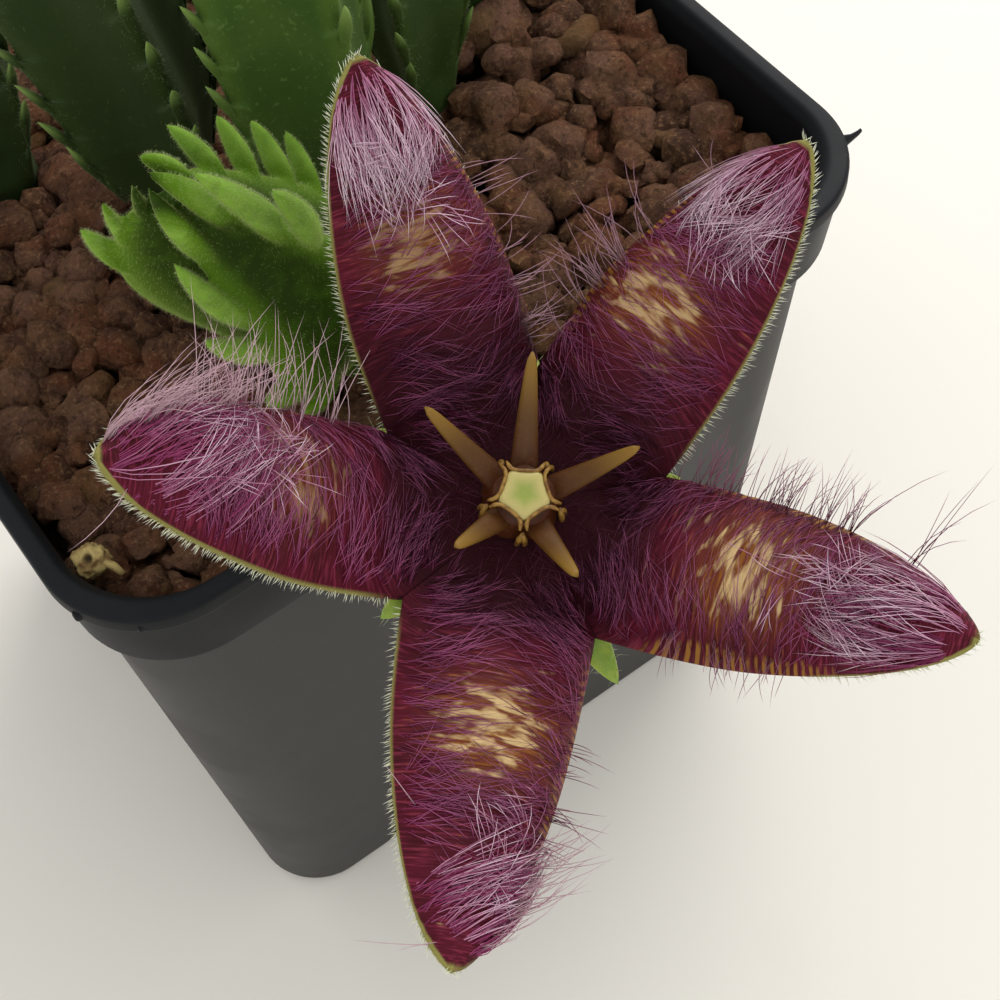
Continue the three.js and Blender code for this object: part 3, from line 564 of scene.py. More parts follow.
def rounded_block(centre, half_sizes, steps=4, power=4):
    """A block with soft edges: the superellipsoid |x|⁴ + |y|⁴ + |z|⁴ = 1 scaled to its half sizes."""
    directions, quads = cube_sphere(steps)
    shrink = (np.abs(directions) ** power).sum(-1, keepdims=True) ** (-1 / power)
    return np.asarray(centre) + directions * shrink * np.asarray(half_sizes), [quads]


def polypropylene(colour):
    """Injection-moulded polypropylene. It gives a soft satin shine on near black, with a faint moulded grain.
    The body has a thin, cloudy film of dust. The collar and the lip are left without it, as painted
    shade that keeps them darker than the body."""
    material, tree, shader = new_material("injection_moulded_polypropylene", {
        "Roughness": 0.5, "IOR": 1.49, "Specular IOR Level": 0.13})
    dust = ramp(tree, pattern(tree, (22, 3, 0.5)), 0.3, 0.75, 0.5, 0.9)
    place = add_node(tree, "ShaderNodeTexCoord").outputs["Object"]
    height = add_node(tree, "ShaderNodeSeparateXYZ", None, {0: place}).outputs["Z"]
    # Painted shade: the dust film stops at the collar's foot, so the collar and the lip stay darker than the
    # body
    body = ramp(tree, height, (POT_TOP - COLLAR_DEPTH) * MM, (POT_TOP - COLLAR_DEPTH + 1) * MM, 1, 0)
    dust_film_and_collar_shade = add_node(tree, "ShaderNodeMath", {"operation": "MULTIPLY"}, {0: dust, 1: body}).outputs[0]
    specks = ((1.6, 2, 0.5), 0.74, 0.82, 0, 0.3, "#57504a")
    dress(tree, shader, colour, [(dust_film_and_collar_shade, "#444240"), specks], (0.5, 3, 0.6), 0.02)
    tree.links.new(ramp(tree, dust, 0.5, 0.9, 0.42, 0.56), shader.inputs["Roughness"])
    return material


# Gravel

def soil_surface(x, y):
    """Height of the gravel bed under a place: level, with an even rise to the right and back."""
    return SOIL_LEVEL + SOIL_RISE * smooth((x - 5) / 50) * smooth((y + 42) / 45)


def depth_inside(x, y, half):
    """How far a place lies inside a square with round corners."""
    dx, dy = np.abs(x) - half + POT_CORNER, np.abs(y) - half + POT_CORNER
    return POT_CORNER - np.hypot(np.maximum(dx, 0), np.maximum(dy, 0)) - np.minimum(np.maximum(dx, dy), 0)


def cube_sphere(steps):
    """Unit directions over a cube's six faces, steps cells to an edge, and the quads between them."""
    t = np.tan(np.linspace(-np.pi / 4, np.pi / 4, steps + 1))
    a, b = np.meshgrid(t, t, indexing="ij")
    one = np.ones_like(a)
    sides = [(one, b, a), (-one, a, b), (a, one, b), (b, -one, a), (b, a, one), (a, b, -one)]
    points = unit(np.concatenate([np.stack(side, -1).reshape(-1, 3) for side in sides]))
    quads = np.concatenate([grid_quads(steps + 1, steps + 1) + k * (steps + 1) ** 2 for k in range(6)])
    _, first, where = np.unique(np.round(points, 5), axis=0, return_index=True, return_inverse=True)
    return points[first], where.ravel()[quads]


# A stone: planes that chip it, how sharp its edges are, sizes and depths of the noise that roughens it, and
# how much it is drawn out along each axis
STONE_CHIPS = 4
STONE_SHARPNESS = 12
STONE_ROUGHNESS = ((1.8, 0.14), (3.9, 0.12), (8, 0.1))
STONE_STRETCH = np.array([1.1, 1.1, 0.85])


def stones(centres, radii, steps, rng):
    """Angular stones with worn edges. In a direction d a stone's radius is a soft minimum of h / (d·n) over
    the six faces of a block that is turned at random and a few planes n that chip it, each at its own
    distance h. Noise at three sizes roughens it, and every stone lies a little flat."""
    directions, quads = cube_sphere(steps)
    count = len(centres)
    block = np.linalg.qr(rng.normal(size=(count, 3, 3)))[0]
    normals = np.concatenate([block, -block, unit(rng.normal(size=(count, STONE_CHIPS, 3)))], 1)
    half = rng.uniform(0.5, 1.05, (count, 1, 3))
    other_half = half * rng.uniform(0.85, 1.1, half.shape)
    heights = np.concatenate([half, other_half, rng.uniform(0.72, 1.0, (count, 1, STONE_CHIPS))], 2)
    facing = np.maximum(np.einsum("gpk,mk->gmp", normals, directions), 0) / heights
    reach = ((facing ** STONE_SHARPNESS).sum(-1) + 1.2 ** -STONE_SHARPNESS) ** (-1 / STONE_SHARPNESS)
    offset = rng.uniform(0, 90, (count, 1, 3))
    for seed, (size, depth) in enumerate(STONE_ROUGHNESS):
        reach *= 1 + depth * noise(directions * size + offset, seed)
    points = directions * (reach * radii[:, None])[..., None]
    skin = (points * STONE_STRETCH + centres[:, None]).reshape(-1, 3)
    faces = (np.arange(count)[:, None, None] * len(directions) + quads).reshape(-1, 4)
    return skin, faces


# A hexagonal grid, as shares of its spacing: how far apart the rows are, and how far a place may shift
ROW_SHARE = 0.87
JITTER = 0.3


def scattered(spacing, inset, rng):
    """Places on a hexagonal grid, each shifted at random, that lie at least inset inside the pot's wall."""
    reach = int(2 * INNER_HALF / spacing)
    rows = np.arange(-reach, reach + 1)
    column, row = np.meshgrid(rows, rows, indexing="ij")
    x = (column + 0.5 * (row % 2)) * spacing + rng.uniform(-JITTER, JITTER, column.shape) * spacing
    y = row * spacing * ROW_SHARE + rng.uniform(-JITTER, JITTER, column.shape) * spacing
    kept = depth_inside(x, y, INNER_HALF) > inset
    return x[kept], y[kept]


# Layers of stones: spacing and size as shares of the middling radius, how deep they lie, and how fine they
# are
GRAVEL_LAYERS = ((1.84, 1.1, 0.0, 4), (2.1, 0.72, 0.35, 4), (2.3, 1.25, 1.2, 2))


def gravel_skins(size, seed):
    """Three layers of stones over a plain block that fills the pot: large ones, small ones between them, and
    a layer below. Returns the skin with each point's tint and how deep it lies under the top of the
    gravel, which the material darkens as painted shade in the gaps."""
    rng = np.random.default_rng(seed)
    skins, tints = [], []
    feet = np.array([(s["x"], s["y"]) for s in STEMS + [SHOOT]])
    for spacing, share, sink, steps in GRAVEL_LAYERS:
        x, y = scattered(size * spacing, size * 0.7, rng)
        radii = size * share * rng.uniform(0.55, 1.38, len(x))
        clear = np.hypot(x[:, None] - feet[:, 0], y[:, None] - feet[:, 1]).min(1) > FOOT_RADIUS + 0.35 * radii
        stalk = np.hypot(x - STALK_ROUTE[0][0], y - STALK_ROUTE[0][1]) > STALK_RADIUS + 0.5 * radii
        kept = clear & stalk | (sink > 1)
        x, y, radii = x[kept], y[kept], radii[kept]
        short = np.maximum(radii * 1.08 - depth_inside(x, y, INNER_HALF), 0) / np.hypot(x, y)
        x, y = x * (1 - short * 1.2), y * (1 - short * 1.2)
        z = soil_surface(x, y) + rng.uniform(-0.7, 1.1, len(x)) - sink * size + 0.8
        skin, quads = stones(np.stack([x, y, z], -1), radii, steps, rng)
        skins.append((skin, [quads]))
        tints.append(np.repeat(rng.uniform(0, 1, len(x)), len(skin) // len(x)))
    low = square_rings([inside_half(FLOOR) - GAP, inside_half(INNER_LEDGE) - GAP], [FLOOR + GAP, INNER_LEDGE])
    top = square_rings([INNER_HALF - GAP] * 2, [INNER_LEDGE + 1.7, SOIL_LEVEL - 1.1 * size])
    block = loft(np.concatenate([low, top, square_rings([30], [SOIL_LEVEL - 1.1 * size])]))
    points, faces = joined(skins + [block])
    tint = np.concatenate(tints + [np.zeros(len(block[0]))])
    # How deep each point lies under the top of the gravel, for the painted shade in the gaps
    depth = soil_surface(points[:, 0], points[:, 1]) + 0.9 * size - points[:, 2]
    return points, faces, tint, depth


def lava(light, dark):
    """Crushed red lava: a froth of glass and rust. It gives dull brown stones, some redder and some greyer,
    with a rough, crumbly face and no shine, and painted shade that turns them near black deeper under the
    top of the gravel, in the gaps. Its pores are drawn at 0.6 to 1 mm, coarser than the finest ones."""
    material, tree, shader = new_material("crushed_lava_rock", {
        "Roughness": 0.95, "IOR": 1.5, "Specular IOR Level": 0.15})
    tint, crumbs = pattern(tree, "tint"), pattern(tree, (0.8, 5, 0.75))
    dress(tree, shader, dark, [
        (tint, light),
        ((11, 2, 0.5), 0.45, 0.62, 0, 0.75, "#7d4a30"),
        ((4.2, 4, 0.6), 0.42, 0.7, 0, 0.7, "#8d6646"),
        ((1.8, 4, 0.65), 0.48, 0.7, 0, 0.75, "#3c2a1c"),
        (crumbs, 0.3, 0.45, 0.75, 0, "#241811"),
        (crumbs, 0.52, 0.68, 0, 0.75, "#b08662"),
        (tint, 0.95, 0.99, 0, 0.45, "#86683c"),
        # Painted shade: near black in the gaps, deeper under the top of the gravel
        ("depth", 2.2, 6.5, 0, 0.88, "#130c08"),
    ], crumbs, 1.8)
    return material


def pale_stone():
    """Weathered pumice with a crust of lime. It gives one rounded straw-yellow grain with a pit darkened as
    painted shade.
    """
    return dressed_material("limed_pumice", {
        "Roughness": 0.85, "IOR": 1.5, "Specular IOR Level": 0.3}, "#bba46a", [
        ((2.2, 4, 0.6), 0.4, 0.65, 0, 1, "#84653e"),
        # Painted shade: the pit is darkened as if shade fills it
        ("pit", "#3b2c1c"),
    ], (0.6, 4, 0.65), 0.2)


# Stems

def stem_line(stem, t):
    """Points and headings of a stem's middle line at shares t: a parabola, upright at its foot."""
    foot = np.array([stem["x"], stem["y"], soil_surface(stem["x"], stem["y"]) + FOOT_RISE])
    heading = unit(np.array([*stem["lean"], 1.0]))
    knee = foot + [0, 0, stem["length"] * stem.get("knee", STEM_KNEE)]
    end = foot + heading * stem["length"]
    return bezier(foot, knee, end, t), bezier_heading(foot, knee, end, t)


def away(along, turned):
    """The direction square to each heading, turned from where the world's X points by an angle in radians."""
    u = unit(np.array([1.0, 0, 0]) - along[..., :1] * along)
    turned = np.asarray(turned)[..., None]
    return np.cos(turned) * u + np.sin(turned) * np.cross(along, u)


def foot_rings(place, turned):
    """The two rings of a stem's round foot, under the place where its line starts."""
    return [place + polar(FOOT_RADIUS, turned, low) for low in (-FOOT_DEPTH - FOOT_RISE, -FOOT_RISE)]


def ribbed_reach(angle, hollow, soft=0.09):
    """Radius of a four-ribbed section at an angle from its first rib: 1 on a rib, falling as the square of
    the way to the face's middle, where it is hollow. soft rounds the rib's edge."""
    share = np.abs((angle / (np.pi / 2) + 0.5) % 1 - 0.5) * 2
    share = (np.sqrt(share ** 2 + soft ** 2) - soft) / (np.sqrt(1 + soft ** 2) - soft)
    return hollow + (1 - hollow) * (1 - share) ** 2, share


def rib_angles(columns):
    """Angles round a stem, closer together near its four ribs."""
    share = np.linspace(-1, 1, columns // 4, endpoint=False)
    return (np.arange(4)[:, None] + np.sign(share) * np.abs(share) ** 1.45 / 2).ravel() * np.pi / 2


def stem_swell(t):
    """Share of a stem's full width at t: it widens from the foot and closes at the tip."""
    return np.minimum(1, 0.68 + 1.6 * t) * np.sqrt(np.maximum(1 - t ** 9, 4e-4))


def tooth_reach(stem, t):
    """How far a stem's teeth reach at t: less on the closing tip and further up."""
    return stem["tooth"] * np.minimum(stem_swell(t), 1 - 0.35 * t)


def stem_leaves(stem, rng):
    """The leaf rudiments of a stem: on each tooth a flattened lance that lies sunk in its rib and whose tip
    stands up and a little out. Returns their skins and how far each point lies on the way to a tip."""
    teeth = round(stem["length"] / TOOTH_PERIOD)
    s = np.linspace(0, 1, 11)
    taper = np.maximum(np.maximum(1 - s ** 2.2, 0) ** 0.8, 0.06) * mix(0.3, 1, smooth(s / 0.6))
    skins = []
    for rib in range(4):
        t = (np.arange(teeth) + (0.5 if rib % 2 == 0 else 0.98)) / teeth
        t = t[t < 0.96]
        place, along = stem_line(stem, t)
        outward = away(along, math.radians(stem["roll"]) + rib * np.pi / 2)
        size = tooth_reach(stem, t) * rng.uniform(1.1, 1.5, len(t))
        roots = place + (stem["rib"] * stem_swell(t) + 0.05 * size)[:, None] * outward
        roots = roots + (0.7 * size)[:, None] * along
        for root, up, out, scale in zip(roots, along, outward, size):
            start = root - 1.5 * scale * up - 0.24 * scale * out
            bend = root - 0.1 * scale * up + 0.12 * scale * out
            side = np.cross(out, up)
            tip = root + scale * (0.7 * up + rng.uniform(0.3, 0.55) * out + rng.uniform(-0.15, 0.15) * side)
            skins.append(tube(bezier(start, bend, tip, s), 0.3 * scale * taper, 8, side, 0.6))
    return skins, np.tile(np.append(np.repeat(s, 8), [0, 1]), len(skins))


def stem_skin(stem, rows=150, columns=56):
    """A ribbed stem. A tooth is a low wave along a rib: it swells slowly, then drops, and its point is pushed
    outwards and on along the stem. Returns the skin with each point's crest, 1 on a rib, and how much it
    belongs to a tooth."""
    length, rib = stem["length"], stem["rib"]
    t = np.linspace(0, 1, rows)[:, None]
    angle = rib_angles(columns)[None]
    swell = stem_swell(t)
    shape, share = ribbed_reach(angle, STEM_HOLLOW)
    steps = 2 * round(length / TOOTH_PERIOD)
    rib_number = np.round(angle / (np.pi / 2)).astype(int) % 4
    beat = t * steps / 2 - np.where(rib_number % 2 == 0, 0.5, 0)
    phase = (beat + TOOTH_RISE) % 1 - TOOTH_RISE
    rise = np.maximum(1 + phase / TOOTH_RISE, 0) ** 2
    wave = np.where(phase < 0, rise, np.maximum(1 - phase / (1 - TOOTH_RISE), 0) ** 2.4)
    index = np.round(beat - phase)
    uneven = 1 + 0.22 * noise((index * 3.7 + 0.5, rib_number * 5.1, stem["x"]), 4)
    reach = tooth_reach(stem, t) * uneven
    belongs = wave * np.exp(-(share / 0.2) ** 2 * (1 + 1.4 * wave))
    radius = rib * swell * shape * (1 + 0.02 * noise((t * 9, np.cos(angle), np.sin(angle)), 6))
    place, along = stem_line(stem, t[:, 0])
    turned = angle + math.radians(stem["roll"])
    outward = away(along[:, None], turned)
    rings = place[:, None] + (radius + 0.3 * reach * belongs)[..., None] * outward
    rings = rings + (0.9 * reach * belongs ** 1.2)[..., None] * along[:, None]
    foot = foot_rings(place[0], turned[0])
    rise = [mix(foot[1], rings[0], s) for s in (0.35, 0.7)]
    rings = np.concatenate([np.stack(foot + rise), rings])
    tooth = np.concatenate([np.zeros((4, columns)), belongs])
    crest = np.concatenate([np.zeros((4, columns)), np.broadcast_to((1 - share) ** 2, belongs.shape)])
    skin, faces = loft(rings)
    return skin, faces, np.append(crest.ravel(), [0, 0]), np.append(tooth.ravel(), [0, 0])


def stem_material(colour):
    """A grown stem's skin: thick wax under very fine down. It gives a deep, slightly milky green with a soft
    sheen, a lighter edge on the ribs that is painted highlight, pale horny tips on the teeth, and painted
    shade that darkens the stems that stand in shade."""
    return dressed_material("downy_stem_skin", {
        "Roughness": 0.6, "IOR": 1.45, "Specular IOR Level": 0.25, "Sheen Weight": 0.12,
        "Sheen Roughness": 0.45, "Sheen Tint": opaque("#b9cf9a")}, colour, [
        ((9, 4, 0.6), 0.35, 0.7, 0, 0.8, "#4a6226"),
        ((0.9, 2, 0.5), 0.6, 0.72, 0, 0.4, "#718a4a"),
        # Painted highlight: the rib crests are lightened as if they catch the light
        ("crest", 0.5, 1, 0, 0.6, "#5f7a30"),
        # Painted shade: stems that stand in shade are darkened by their own share
        ("age", "#182409"),
        ("tooth", 0.5, 1, 0, 0.8, "#86a152"),
    ], (0.45, 3, 0.6), 0.05)


# Young shoot

def shoot_swell(t):
    """Share of the shoot's full width at t: it widens to its middle and rounds off at the crown."""
    return mix(0.5, 1, smooth(t / 0.45)) * np.sqrt(np.maximum(1 - (t / 0.95) ** 4, 0))


def rib_blend(position, column):
    """A column of SHOOT_RIBS at a position round the section, counted in ribs: blended from one to the
    next."""
    values = np.array([rib[column] for rib in SHOOT_RIBS], float)
    low = np.floor(position).astype(int)
    return mix(values[low % 4], values[(low + 1) % 4], smooth(position - low))


def shoot_outward(along, position):
    """The direction away from the shoot's line at a position round it, for each of its headings."""
    return away(along, position * np.pi / 2 + np.radians(SHOOT["roll"] + rib_blend(position, 0)))


def shoot_reach(t, position):
    """How far the shoot's ribs reach at t and at a position round it."""
    crown = 1 + rib_blend(position, 2) * smooth((t - 0.3) / 0.6)
    return SHOOT["rib"] * shoot_swell(t) * rib_blend(position, 1) * crown


def shoot_body(rows=44, columns=48):
    """The shoot's four-ribbed body, without its leaves."""
    t = np.linspace(0, 0.935, rows)
    place, along = stem_line(SHOOT, t)
    angle = rib_angles(columns)
    shape, _ = ribbed_reach(angle, SHOOT_HOLLOW, 0.14)
    position = np.broadcast_to(angle / (np.pi / 2), (rows, columns))
    outward = shoot_outward(along[:, None], position)
    rings = place[:, None] + (shoot_reach(t[:, None], position) * shape)[..., None] * outward
    foot = foot_rings(place[0], angle + math.radians(SHOOT["roll"]))
    return loft(np.concatenate([np.stack(foot), rings]))


def shoot_leaf(rib, leaf, radius, rng):
    """A leaf rudiment: a lens that lies sunk in its rib's edge and leaves it as a blunt finger. Its radius at
    share s is (1 − s²·⁵)⁰·⁷ of the full one, and less in the rib."""
    place, along = stem_line(SHOOT, np.array([leaf[0], leaf[2]]))
    outward = shoot_outward(along, np.full(2, float(rib)))
    side = np.cross(outward[0], along[0])
    root = place[0] + outward[0] * leaf[1]
    tip = place[1] + outward[1] * leaf[3] + side * rng.uniform(-0.4, 0.4)
    start = root - 0.35 * (tip - root) - outward[0] * radius * 1.2
    bend = mix(root, tip, 0.35) + outward[0] * 0.9
    s = np.linspace(0, 1, 25) ** 0.9
    taper = np.maximum(np.maximum(1 - s ** 2.5, 0) ** 0.7, 0.1) * mix(0.6, 1, smooth(s / 0.5))
    return tube(bezier(start, bend, tip, s), radius * rng.uniform(0.92, 1.08) * taper, 14, side, 0.85)


def shoot_leaves(radius, rng):
    """The leaf rudiments of all four ribs."""
    return [shoot_leaf(rib, leaf, radius * thick, rng)
            for rib, (*_, thick, leaves) in enumerate(SHOOT_RIBS) for leaf in leaves]


def shoot_depth(points):
    """How far out of the shoot each point lies, as a share of the reach of the rib it is nearest to."""
    t = np.linspace(0, 1.05, 90)
    place, along = stem_line(SHOOT, t)
    nearest = np.linalg.norm(points[:, None] - place[None], axis=2).argmin(1)
    way = points - place[nearest]
    ways = np.stack([shoot_outward(along, np.full(90, float(rib)))[nearest] for rib in range(4)], 1)
    rib = np.einsum("pk,prk->pr", way, ways).argmax(1)
    reach = shoot_reach(np.minimum(t[nearest], 0.93), rib.astype(float))
    return np.linalg.norm(way, axis=1) / np.maximum(reach, 3.2)


def mesh_arrays(piece):
    """A piece's points in millimetres, their normals, and its triangles."""
    mesh = piece.data
    points, normals = np.empty(len(mesh.vertices) * 3), np.empty(len(mesh.vertices) * 3)
    mesh.vertices.foreach_get("co", points)
    mesh.vertices.foreach_get("normal", normals)
    mesh.calc_loop_triangles()
    triangles = np.empty(len(mesh.loop_triangles) * 3, np.int32)
    mesh.loop_triangles.foreach_get("vertices", triangles)
    return points.reshape(-1, 3) / MM, normals.reshape(-1, 3), triangles.reshape(-1, 3)


def down_piece(name, grown_on, material, slot, count, length, radius, rng, weight=None):
    """One piece of short hairs spread evenly over the skin of another. Each stands along the normal, turned a
    little at random and upwards. weight, one number for each point, makes some places denser."""
    points, normals, triangles = mesh_arrays(grown_on)
    a, b, c = (points[triangles[:, k]] for k in range(3))
    area = np.linalg.norm(np.cross(b - a, c - a), axis=1)
    if weight is not None:
        area = area * weight[triangles].mean(1)
    chosen = rng.choice(len(triangles), count, p=area / area.sum())
    share = np.sort(rng.uniform(0, 1, (count, 2)), axis=1)
    share = np.stack([share[:, 0], share[:, 1] - share[:, 0], 1 - share[:, 1]], -1)[..., None]
    root = (points[triangles[chosen]] * share).sum(1)
    normal = unit((normals[triangles[chosen]] * share).sum(1))
    heading = unit(normal + rng.normal(0, 0.3, (count, 3)) + 0.3 * UP)
    reach = length * rng.uniform(0.6, 1.25, count)[:, None]
    paths = np.stack([root - normal * DOWN_SUNK, root + heading * reach], 1)
    values = {"share": hair_values(paths, np.tile([0.0, 1.0], (count, 1)))}
    new_piece(name, *hair_tubes(paths, radius), material, slot, values=values)


def shoot_material(colour):
    """A young shoot's skin: thin, juicy and covered in down. It gives a fresh yellow-green on the ribs and
    the leaves, a deep green in the hollow faces that is painted shade, and a soft pale rim where the down
    is seen from the side."""
    return dressed_material("downy_shoot_skin", {
        "Roughness": 0.6, "IOR": 1.42, "Specular IOR Level": 0.12, "Sheen Weight": 0.8,
        "Sheen Roughness": 0.3, "Sheen Tint": opaque("#c6d67c"), "Subsurface Weight": 0.08,
        "Subsurface Scale": 0.002, "Subsurface Radius": (0.5, 1.0, 0.25)}, "#243804", [
        # Painted shade: the hollow faces near the shoot's line keep the deep green base, and only the ribs
        # take the lighter skin
        ("crest", 0.6, 1.02, 0, 1, colour),
        ("leaf", 0.1, 1.0, 0, 0.8, "#86ac42"),
        ((2.5, 3, 0.5), 0.4, 0.7, 0, 0.3, "#446813"),
    ], (0.4, 3, 0.6), 0.06)


def hair_material(name, root, tip, other=None):
    """A plant hair: one row of clear cells, whose wall gives a fine bright line. Its colour goes from root to
    tip along share, and tone, different for each hair, draws it towards the other colour where there is
    one."""
    layers = [("share", tip)] + ([("tone", other)] if other else [])
    return dressed_material(name, {"Roughness": 0.5, "IOR": 1.45, "Specular IOR Level": 0.15}, root, layers)


# Corolla

def flower_axes():
    """The flower's right, up and facing directions as rows."""
    facing = unit(FLOWER_FACING)
    right = unit(FLOWER_RIGHT - (FLOWER_RIGHT @ facing) * facing)
    return np.stack([right, np.cross(facing, right), facing])


def from_flower(points):
    """Points of the flower's own axes, carried to the pot's."""
    return points @ flower_axes() + FLOWER_CENTRE


def by_flank(pair, across):
    """The first of a pair on the clockwise flank, and the second on the other."""
    return np.where(across < 0, *pair)


def lobe_arc(lobe, t, across):
    """A lobe before its foot is drawn to the sinuses. Its middle line climbs outwards, and across it the face
    is an arc, tighter on the flank that folds back. The half width tapers as (1 − t¹·⁷)⁰·⁶²."""
    outward, side = out_and_side(math.radians(lobe["azimuth"]))
    run, climb = lobe["reach"] - DISC_RADIUS, lobe["rise"] - DISC_RISE
    height = DISC_RISE + climb * ((1 - LOBE_ARCH) * t + LOBE_ARCH * np.sin(t * np.pi / 2))
    slope = climb * (1 - LOBE_ARCH + LOBE_ARCH * np.cos(t * np.pi / 2) * np.pi / 2)
    along = unit(outward * run + slope[..., None] * UP)
    normal = np.cross(along, side)
    centre = outward * (DISC_RADIUS + run * t)[..., None] + height[..., None] * UP
    fold = by_flank(lobe["fold"], across)
    width = lobe_width(lobe, t, across)
    sideways, drop = width * np.sin(fold * across) / fold, width * (1 - np.cos(fold * across)) / fold
    return centre + sideways[..., None] * side - drop[..., None] * normal


def lobe_width(lobe, t, across):
    """Flattened half width of the lobe's flank at t."""
    half = by_flank(lobe["half"], across)
    return half * np.maximum(1 - np.maximum(t, 0) ** 1.7, 0) ** 0.62


def lobe_length(lobe):
    """Length of a lobe's middle line beyond the disc."""
    return math.hypot(lobe["reach"] - DISC_RADIUS, lobe["rise"] - DISC_RISE)


def sinus_point(index):
    """The notch after a lobe: midway between its foot corner and the next lobe's, a set way from the
    middle."""
    zero, one = np.zeros(1), np.ones(1)
    middle = (lobe_arc(LOBES[index], zero, one) + lobe_arc(LOBES[(index + 1) % 5], zero, -one))[0] / 2
    outward = unit(middle[:2]) * SINUS_RADIUS
    return np.array([*outward, middle[2]])


SINUSES = [sinus_point(i) for i in range(5)]


def petal_point(index, t, across):
    """A point of the corolla's upper face. t runs from −1 in the middle of the disc over 0 at a lobe's foot
    to 1 at its tip. The foot's corners are drawn to the sinuses, and the disc is the foot shrunk to a
    bowl."""
    t, across = np.broadcast_arrays(np.asarray(t, float), np.asarray(across, float))
    lobe, on_lobe = LOBES[index], np.clip(t, 0, 1)
    pull_low = SINUSES[index - 1] - lobe_arc(lobe, np.zeros(1), -np.ones(1))[0]
    pull_high = SINUSES[index] - lobe_arc(lobe, np.zeros(1), np.ones(1))[0]
    pull = np.where((across < 0)[..., None], pull_low, pull_high)
    share = np.maximum(1 - on_lobe / SINUS_REACH, 0) ** 2 * np.abs(across) ** 3
    point = lobe_arc(lobe, on_lobe, across) + pull * share[..., None]
    shrink = np.clip(1 + t, 0, 1)
    return point * np.stack([shrink, shrink, shrink ** 2], -1)


def petal_normal(index, t, across, step=0.01):
    """The upper face's outward normal, from points a small step apart."""
    t = np.clip(t, -0.98, 0.985)
    outward = petal_point(index, t + step, across) - petal_point(index, t - step, across)
    sideways = petal_point(index, t, across + step) - petal_point(index, t, across - step)
    return unit(np.cross(outward, sideways) + [0, 0, 1e-9])


def on_petal(index, t, across):
    """Places on a lobe as its skin measures them: millimetres across, millimetres along, and a number apart
    for each lobe."""
    width = lobe_width(LOBES[index], np.clip(t, 0, 0.8), across)
    return np.stack([across * width, t * lobe_length(LOBES[index]), np.full(across.shape, 40.0 * index)], -1)


def wrinkles(index, t, across):
    """Height from −1 to 1 of the wrinkles that cross a lobe: noise drawn out across it, which turns to even
    bars at the flanks."""
    place = on_petal(index, t, across)
    y = place[..., 1] + 1.3 * noise(place * [0.16, 0.22, 1], 21)
    x, z = place[..., 0], place[..., 2]
    cells = noise((x * 0.3, y * 1.05, z), 22)
    fine = noise((x * 0.7, y * 2.3, z), 23)
    bars = np.sin(2 * np.pi * y / 1.5 + 2.2 * noise(place * [0.12, 0.1, 1], 24))
    return mix(1.2 * cells + 0.35 * fine, 0.8 * bars, smooth((np.abs(across) - 0.5) / 0.3))


def corolla_shares(index, t, across, upper):
    """How much of each colour a place on a lobe may take: the cream patch and its glow, the brown halo, the
    gold bars of the folded flanks, the dark middle, partly the disc's own dark and partly painted shade, the
    pale rim and the green back."""
    lobe = LOBES[index]
    fold = by_flank(lobe["fold"], across)
    patch_t, patch_across = lobe["patch"]
    wide = ((across - patch_across) / 0.52) ** 2
    width = np.maximum(lobe_width(lobe, t, across), 0.3)
    rim_start = by_flank(lobe["rim"], across)
    rim_width = mix(0.32, 0.9, smooth((t - 0.82) / 0.15))
    from_rim = np.minimum((1 - np.abs(across)) * width, (1 - t) * lobe_length(lobe))
    flank = smooth((np.abs(across) - 0.55) / 0.35) * smooth((t + 0.02) / 0.12) * smooth((0.8 - t) / 0.25)
    shares = {
        "patch": np.exp(-((t - patch_t) / 0.17) ** 2 - wide ** 2),
        "glow": np.full(t.shape, lobe["glow"]),
        "halo": np.exp(-((t - patch_t - 0.02) / 0.2) ** 2 - wide / 2) * mix(0.5, 1, lobe["glow"]),
        "flank": flank * np.where(fold > FLAT_FOLD, 1, 0.3),
        # The dark middle: partly the disc's own dark and partly painted shade, which reaches further on some
        # lobes
        "dark": smooth((lobe["dark_and_shade_reach"] - t) / 0.42),
        "rim": smooth((rim_width - from_rim) / 0.25) * smooth((t - rim_start) / 0.1),
        "back": np.zeros(t.shape),
    }
    if not upper:
        shares = {key: value * (key == "rim") for key, value in shares.items()}
        shares["back"] = np.ones(t.shape)
    return shares


SHARE_KEYS = ("patch", "glow", "halo", "flank", "dark", "rim", "back")


def margin_way(index, t, across):
    """The way out of a lobe over its margin, in its face."""
    return unit(petal_point(index, t, across) - petal_point(index, t, across * 0.97) + 1e-9)


def shell_ways(index, t, across, disc_rows):
    """The upper face's normals and the ways out over both margins. Along the disc's seams they are the mean
    of both lobes', and at the tip and in the disc's middle all are one, so that the shell closes there."""
    normal = petal_normal(index, t, np.clip(across, -0.985, 0.985))
    out = margin_way(index, t[:, [0, -1]], across[:, [0, -1]])
    seam = t[:disc_rows + 1, 0]
    for column, neighbour, side in ((0, index - 1, 1.0), (-1, (index + 1) % 5, -1.0)):
        side = np.full(seam.shape, side)
        for ways, other in ((normal, petal_normal(neighbour, seam, side * 0.985)),
                            (out, margin_way(neighbour, seam, side))):
            ways[:disc_rows + 1, column] = unit(ways[:disc_rows + 1, column] + other)
    normal[0] = [0, 0, 1]
    normal[-1] = unit(normal[-1].mean(0))
    out[-1] = unit(petal_point(index, 1.0, 0.0) - petal_point(index, 0.97, 0.0))
    return normal, out


